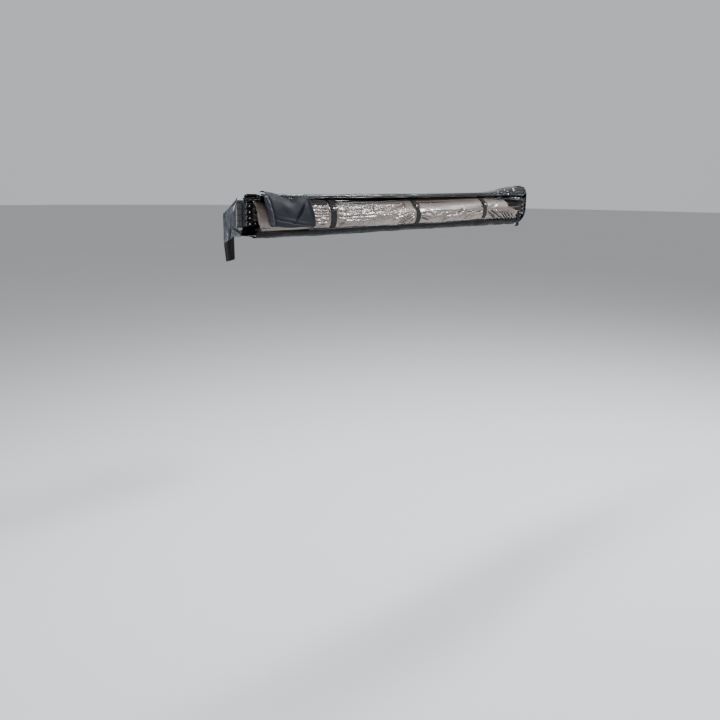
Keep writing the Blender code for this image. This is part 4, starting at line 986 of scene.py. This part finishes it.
def hinge_flap():
    """The slate flap over the hinge end: thrown over the roll, creased, with a roped hem."""
    count, steps = 130, 130
    rows = []
    for share in np.linspace(0, 1, count):
        peak = float(np.interp(share, *zip(*FLAP_TOP)))
        low = 0.053 - 0.013 * share + 0.010 * smooth(0.93, 1.0, share)
        over = smooth(0.60, 0.42, share)
        path = []
        if over > 0:
            for t in np.linspace(1, 0, 8)[:-1]:
                path.append((-0.158 + 0.026 * over * t, peak - 0.003 * t * t * over))
        path.append((-0.166 - 0.006 * (1 - over), peak - 0.0015))
        for fall, y in FLAP_FALL:
            path.append((y, peak - 0.010 - (peak - 0.010 - low) * fall))
        rows.append(spline(path, steps))
    rows = np.array(rows)
    share = np.linspace(0, 1, count)[:, None]
    y, z = rows[..., 0], rows[..., 1]
    down = np.clip((0.205 - z) / 0.155, 0, 1)
    top_lean = 0.018 * smooth(0.200, 0.215, z) * (1 - share)
    left = 0.080 + 0.041 * down + top_lean
    right = 0.356 + 0.050 * down + 0.006 * np.sin(math.pi * down)
    x = left + (right - left) * share
    facing = smooth(0.205, 0.185, z)
    high = strokes(x, z, FLAP_FOLDS, 0.006, 91)
    high = high + 0.004 * np.sin(math.pi * share) * np.sin(math.pi * down)
    high = high + 0.0008 * (crumple(x / 0.11, z / 0.08, 93, 2) - 0.45)
    high = high - 0.0030 * hump(share, 0.105, 0.020)
    high = np.maximum(high, -0.0030)
    y = y - high * facing
    y = y - 0.004 * smooth(0.9, 1.0, share) * np.sin(math.pi * down)
    z = z + 0.003 * (crumple(share * 3, y / 0.03, 94) - 0.4) * (1 - facing)
    z = z + 0.002 * np.sin(3.5 * math.pi * share) * smooth(0.85, 1.0, down)
    hem = 1 + 1.0 * smooth(0.955, 0.965, share) + 1.0 * smooth(0.93, 0.945, down)
    flap = shell("hinge_flap_cover", (x, y, z), FLAP_THICK * hem, SLATE)
    t = np.linspace(0.03, 1.0, 50)
    swell = 0.0118 * smooth(0, 0.10, t - 0.03) * smooth(1.0, 0.95, t)
    radius = np.maximum(swell * (1 + 0.20 * noise(t * 8, 0.3, 95)), 0.004)
    fall_y = np.interp(t, *zip(*FLAP_FALL))
    line = np.stack([HINGE_X + 0.086 + 0.040 * t + 0.002 * noise(t * 5, 0.8, 96),
                     fall_y - 0.60 * radius, 0.207 - 0.146 * t], -1)
    # The hem tube's lighter slate is a painted highlight.
    hem_tube = gather("hinge_flap_hem", [rod(line, radius, 22)], SLATE_HEM_HIGHLIT)
    place(flap, stands_for="hinge_flap")
    place(hem_tube)
    for piece in (flap, hem_tube):
        flatten(piece)


def closing_tab():
    """The flap's closing tab: a black hook-and-loop strip, sewn round."""
    xs = np.linspace(0, 1, 70)
    x = 0.386 + 0.112 * xs
    rows = []
    for share, row in zip(xs, outlines(x, 200)):
        high, low = 0.1760 - 0.0085 * share, 0.1535 - 0.0050 * share
        start = np.argmax(row[:, 1] < high)
        stop = np.argmax((row[:, 1] < low) & (row[:, 0] < -0.12))
        rows.append(resample(row[start - 1:stop + 1], 28))
    rows = np.array(rows)
    vs = np.linspace(0, 1, 28)[None, :]
    border = np.minimum(np.minimum(xs, 1 - xs)[:, None] * 4.4, np.minimum(vs, 1 - vs))
    lift = 0.0068 + 0.0020 * np.sin(math.pi * xs)[:, None] + 0.0008 * crumple(xs[:, None] * 3, vs, 97)
    grid = np.stack([x[:, None] + 0 * lift, rows[..., 0] - 0.8 * lift, rows[..., 1] + 0.5 * lift], -1)
    thick = 0.0018 + 0.0012 * smooth(0.16, 0.10, border)
    tab = shell("closing_tab", grid, thick, HOOK_TAPE)
    sewn = []
    inset = grid[3:67, 2:26] + (HINGE_X, -0.0012, 0.0008)
    for line in (inset[:, 0], inset[-1], inset[::-1, -1], inset[0, ::-1]):
        sewn.append(rod(line, 0.0009, 6))
    seam = gather("closing_tab_stitching", sewn, STITCHING)
    place(seam)
    place(tab, stands_for="flap_tab")
    for piece in (seam, tab):
        flatten(piece)


# Straps, each in two parts that meet at this height

SPLIT_Z = 0.150


def strap_path(at, count):
    """A strap's path: under the roll, down the bundle's face and in below it to the rail."""
    row = outlines(np.array([at]), 120)[0]
    path = row + normals_out(row) * np.clip(0.0046 - 0.0026 * smooth(0.15, 0.11, row[:, 1]), 0, 1)[:, None]
    return resample(np.concatenate([path, [(-0.120, 0.0146), (RAIL_FRONT - 0.002, 0.0146)]]), count)


def straps():
    """Three webbing straps with their cam buckles, each in an upper and a lower part."""
    across = np.linspace(-0.5, 0.5, 14)[:, None]
    top = 0.177
    for number, at in enumerate(STRAPS_X, 1):
        path = strap_path(at, 190)
        split = int(np.argmax(path[:, 1] < SPLIT_Z))
        for word, rows in (("upper", path[:split + 1]), ("lower", path[split:])):
            y, z = rows[None, :, 0], rows[None, :, 1]
            lean = 0.004 * (top - z) / 0.16
            x = at + STRAP_WIDTH * across + lean
            edge = 1 + 0.25 * smooth(0.42, 0.48, np.abs(across))
            body = shell(f"strap_{number}_{word}", (x, y, z), STRAP_THICK * edge, WEBBING)
            if word == "upper":
                place(body)
                flatten(body)
            else:
                place(body, stands_for=f"strap_{number}")
                draw_in(body)
        buckle(number, at + 0.001, path)


def buckle(number, at, path):
    """A cam buckle on the strap's slope: side cheeks, cross bars and a bright ribbed lever."""
    half, grip = 0.0225, 0.0090
    centre = int(np.argmax(path[:, 1] < BUCKLE_Z))
    down = path[centre + 4] - path[centre - 4]
    down /= np.linalg.norm(down)
    out = np.array((down[1], -down[0]))
    out *= -np.sign(out[0])

    def spot(u, v, w):
        yz = path[centre] + down * v + out * w
        return (HINGE_X + at + u, yz[0], yz[1])
    frame_bodies = []
    for side in (-1, 1):
        cheek = [spot(side * half, v, w) for v, w in ((-0.014, 0.0022), (-0.006, 0.0052),
                                                      (0.006, 0.0052), (0.014, 0.0022))]
        frame_bodies.append(rod(resample(cheek, 14), 0.0023, 10, 1.3))
    for v, r in ((-0.0135, 0.0020), (0.0135, 0.0022)):
        bar = [spot(-half, v, 0.0026), spot(0, v, 0.0030), spot(half, v, 0.0026)]
        frame_bodies.append(rod(bar, r, 10))
    body = gather(f"strap_{number}_buckle", frame_bodies, PLASTIC)
    lever = []
    for step in range(5):
        v, w = -0.0040 + 0.0016 * step, 0.0058 - 0.0006 * step
        rib = [spot(-grip, v, w), spot(0, v, w), spot(grip, v, w)]
        lever.append(rod(rib, 0.0010 + 0.0003 * (step % 2), 8))
    plate = gather(f"strap_{number}_lever", lever, STEEL)
    place(body, stands_for=f"strap_buckle_{number}")
    place(plate)
    draw_in(body)
    draw_in(plate)


# The canopy's panels, pleated between the arms

def even_heights(count):
    """Heights from 0 to 1 whose smooth blend is even, so that the pleats fan out evenly."""
    fine = np.linspace(0, 1, 4001)
    return np.interp(np.linspace(0, 1, count), smooth(0, 1, fine), fine)


def pleats(name, top, bottom, root, reach, layers, thick, tuck):
    """A panel pleated between two heights, whose outer edge is straight once it is spread.

    The tuck says how far the folds are drawn in against the arms' tips.
    """
    levels = even_heights(layers + 1)
    radii = np.linspace(0, 1, 40)
    chord = CANOPY_END * math.cos(SWING / 2)
    middle = CANOPY_START + (CANOPY_END - CANOPY_START) * radii
    ragged = 0.017 * np.abs(noise(np.arange(layers + 1) * 0.37, 0.5, 107 + layers))
    inside = []
    for row in outlines(middle, 160):
        face = row[np.argmin(row[:, 1] > 0.1764):]
        stop = np.argmin(face[:, 0])
        inside.append(face[:stop + 1][::-1])
    grid = []
    for share, face in zip(radii, inside):
        row = []
        for step, level in enumerate(levels):
            spread = step / layers
            z = top + (bottom - top) * level
            end = chord / math.cos(SWING * (spread - 0.5))
            start = CANOPY_START - (ragged[step] if 0 < step < layers else 0)
            x = start + (end - start) * share
            room = float(np.interp(z, face[:, 1], face[:, 0])) + 0.0045
            deep = max(root - reach * x, min(room, root - 0.002))
            out = root + (deep - root) * (1 - tuck * smooth(2.03, 2.25, x)) if step % 2 else root
            row.append((x - 0.5 * abs(out - root), out, z))
        grid.append(row)
    return shell(name, grid, thick, TAUPE_INSIDE)


def panels():
    """The four panels, one from the rail to the top arm and three between the arms."""
    for number, reach, layers in ((1, 0.0245, 40), (2, 0.0232, 62), (3, 0.0232, 42), (4, 0.0232, 38)):
        if number == 1:
            top, bottom, root, thick, tuck = 0.1725, 0.1662, RAIL_FRONT - 0.004, 0.0001, 0.0
        else:
            top = ARMS_TOP - 0.0006 - (number - 2) * ARM_PITCH
            bottom, root, thick, tuck = top - ARM_PITCH + 0.0010, FOLD_FRONT + 0.0008, 0.0002, 0.8
        panel = pleats(f"canopy_fan_{number}", top, bottom, root, reach, layers, thick, tuck)
        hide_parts(f"canopy_panel_{number}")
        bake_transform(panel)


def inner_fold():
    """The canopy's slack, folded loosely below the lowest arm inside the outer fold."""
    xs = np.linspace(0.078, 2.180, 160)
    path = []
    for turn, z in enumerate((0.0245, 0.0305, 0.0365, 0.0425, 0.0485)):
        reach = (-0.128, -0.158 - 0.006 * turn)
        near, far = reach if turn % 2 else reach[::-1]
        path += [(near, z), ((near + far) / 2, z + 0.001), (far, z)]
    section = spline(path, 80)
    x = xs[:, None]
    y = section[:, 0] + 0.002 * noise(x / 0.2, section[:, 1] / 0.01, 101)
    z = section[:, 1] + 0.0012 * noise(x / 0.15, section[:, 0] / 0.04, 103)
    end = 0.012 * noise(section[:, 1] / 0.006, 0.5, 105) * smooth(0.15, 0.078, x)
    fold = shell("canopy_inner_fold", (x + end, y, z), 0.0010, TAUPE_INSIDE)
    place(fold)
    flatten(fold)


# Bare metal that shines out of the black frame


def rivets():
    """Bright rivet heads on the arms."""
    radius, high = 0.0054, 0.0021
    for arm in range(1, 5):
        at = (HINGE_Y - 0.0198, STACK_BASE + (4 - arm) * ARM_PITCH + 0.0139)
        heads = [rivet_head((HINGE_X + x, *at), radius, high) for x in RIVETS_X]
        place(gather(f"arm_{arm}_rivet_heads", heads, ZINC), f"arm_{arm}")


def cut_ends():
    """The bare aluminium at both cut ends of each arm's channel."""
    track, wide = ARM_HIGH - TRACK_DEEP, 0.0030
    corners = [(ARM_HALF, ARM_LOW), (ARM_HALF, ARM_HIGH), (-TRACK_OUT, ARM_HIGH), (-TRACK_OUT, track),
               (-ARM_HALF, track), (-ARM_HALF, ARM_LOW)]
    section = resample(corners, 60) + (HINGE_Y, 0)
    for arm in range(1, 5):
        base = STACK_BASE + (4 - arm) * ARM_PITCH
        for word, start in (("rear", ARM_START), ("front", ARM_END - wide)):
            rows = [[(x, y, base + z) for y, z in section] for x in (start, start + wide)]
            band = shell(f"arm_{arm}_{word}_cut_end", rows, 0.0010, ANODISED)
            place(band, f"arm_{arm}")


# Floor, where the opened legs stand, and light

FLOOR_Z = -2.0

def stage():
    """A plain pale floor, and soft light from above, from in front and from behind."""
    bpy.ops.mesh.primitive_circle_add(vertices=96, radius=60, fill_type="NGON",
                                      location=(0, 0, FLOOR_Z))
    floor = bpy.context.object
    floor.name = "studio_floor"
    f = Finish("studio_floor", Roughness=0.9)
    f.colour(f.mix(f.noise(0.4, 2.0), rgb(0.80, 0.80, 0.80), rgb(0.83, 0.83, 0.83)))
    floor.data.materials.append(f.material)
    world = bpy.data.worlds.new("studio")
    bpy.context.scene.world = world
    world.use_nodes = True
    tree = world.node_tree
    background = tree.nodes["Background"]
    background.inputs["Color"].default_value = rgb(0.94, 0.96, 1.0)
    facing = tree.nodes.new("ShaderNodeVectorMath")
    facing.operation = "DOT_PRODUCT"
    facing.inputs[1].default_value = (0.68, 0.70, 0.20)
    lit = tree.nodes.new("ShaderNodeMapRange")
    for socket, value in (("From Min", -0.6), ("From Max", 0.9), ("To Min", 0.25), ("To Max", 0.60)):
        lit.inputs[socket].default_value = value
    sky = tree.nodes.new("ShaderNodeTexCoord")
    tree.links.new(sky.outputs["Generated"], facing.inputs[0])
    tree.links.new(facing.outputs["Value"], lit.inputs["Value"])
    tree.links.new(lit.outputs["Result"], background.inputs["Strength"])
    # Each light's name, place, target, width, height, power and tint
    lights = (("key", (4.0, -3.6, 3.6), (0.2, -0.15, 0.1), 1.1, 0.8, 490, (1, 1, 1)),
              ("front", (-2.6, -5.5, 1.4), (-0.2, -0.15, 0.1), 2.6, 1.2, 30, (1, 1, 1)),
              ("top", (0.2, 1.1, 3.4), (0.0, -0.10, 0.15), 4.6, 0.6, 320, (0.80, 0.90, 1.0)),
              ("rear", (-5.0, 0.6, 1.6), (-1.2, -0.1, 0.1), 1.2, 1.6, 60, (1, 1, 1)))
    for name, at, target, size, height, power, tint in lights:
        data = bpy.data.lights.new(name, "AREA")
        data.shape = "RECTANGLE"
        data.size, data.size_y = size, height
        data.energy = power
        data.color = tint
        lamp = bpy.data.objects.new(name, data)
        bpy.context.collection.objects.link(lamp)
        lamp.location = at
        way = Vector(target) - Vector(at)
        lamp.rotation_euler = way.to_track_quat("-Z", "Y").to_euler()


canopy_wrap()
loose_corner()
cover_edge()
cover_roll()
bag_floor()
front_end()
tail_flap()
tail_corner()
hinge_flap()
closing_tab()
straps()
panels()
inner_fold()
rivets()
cut_ends()
stage()
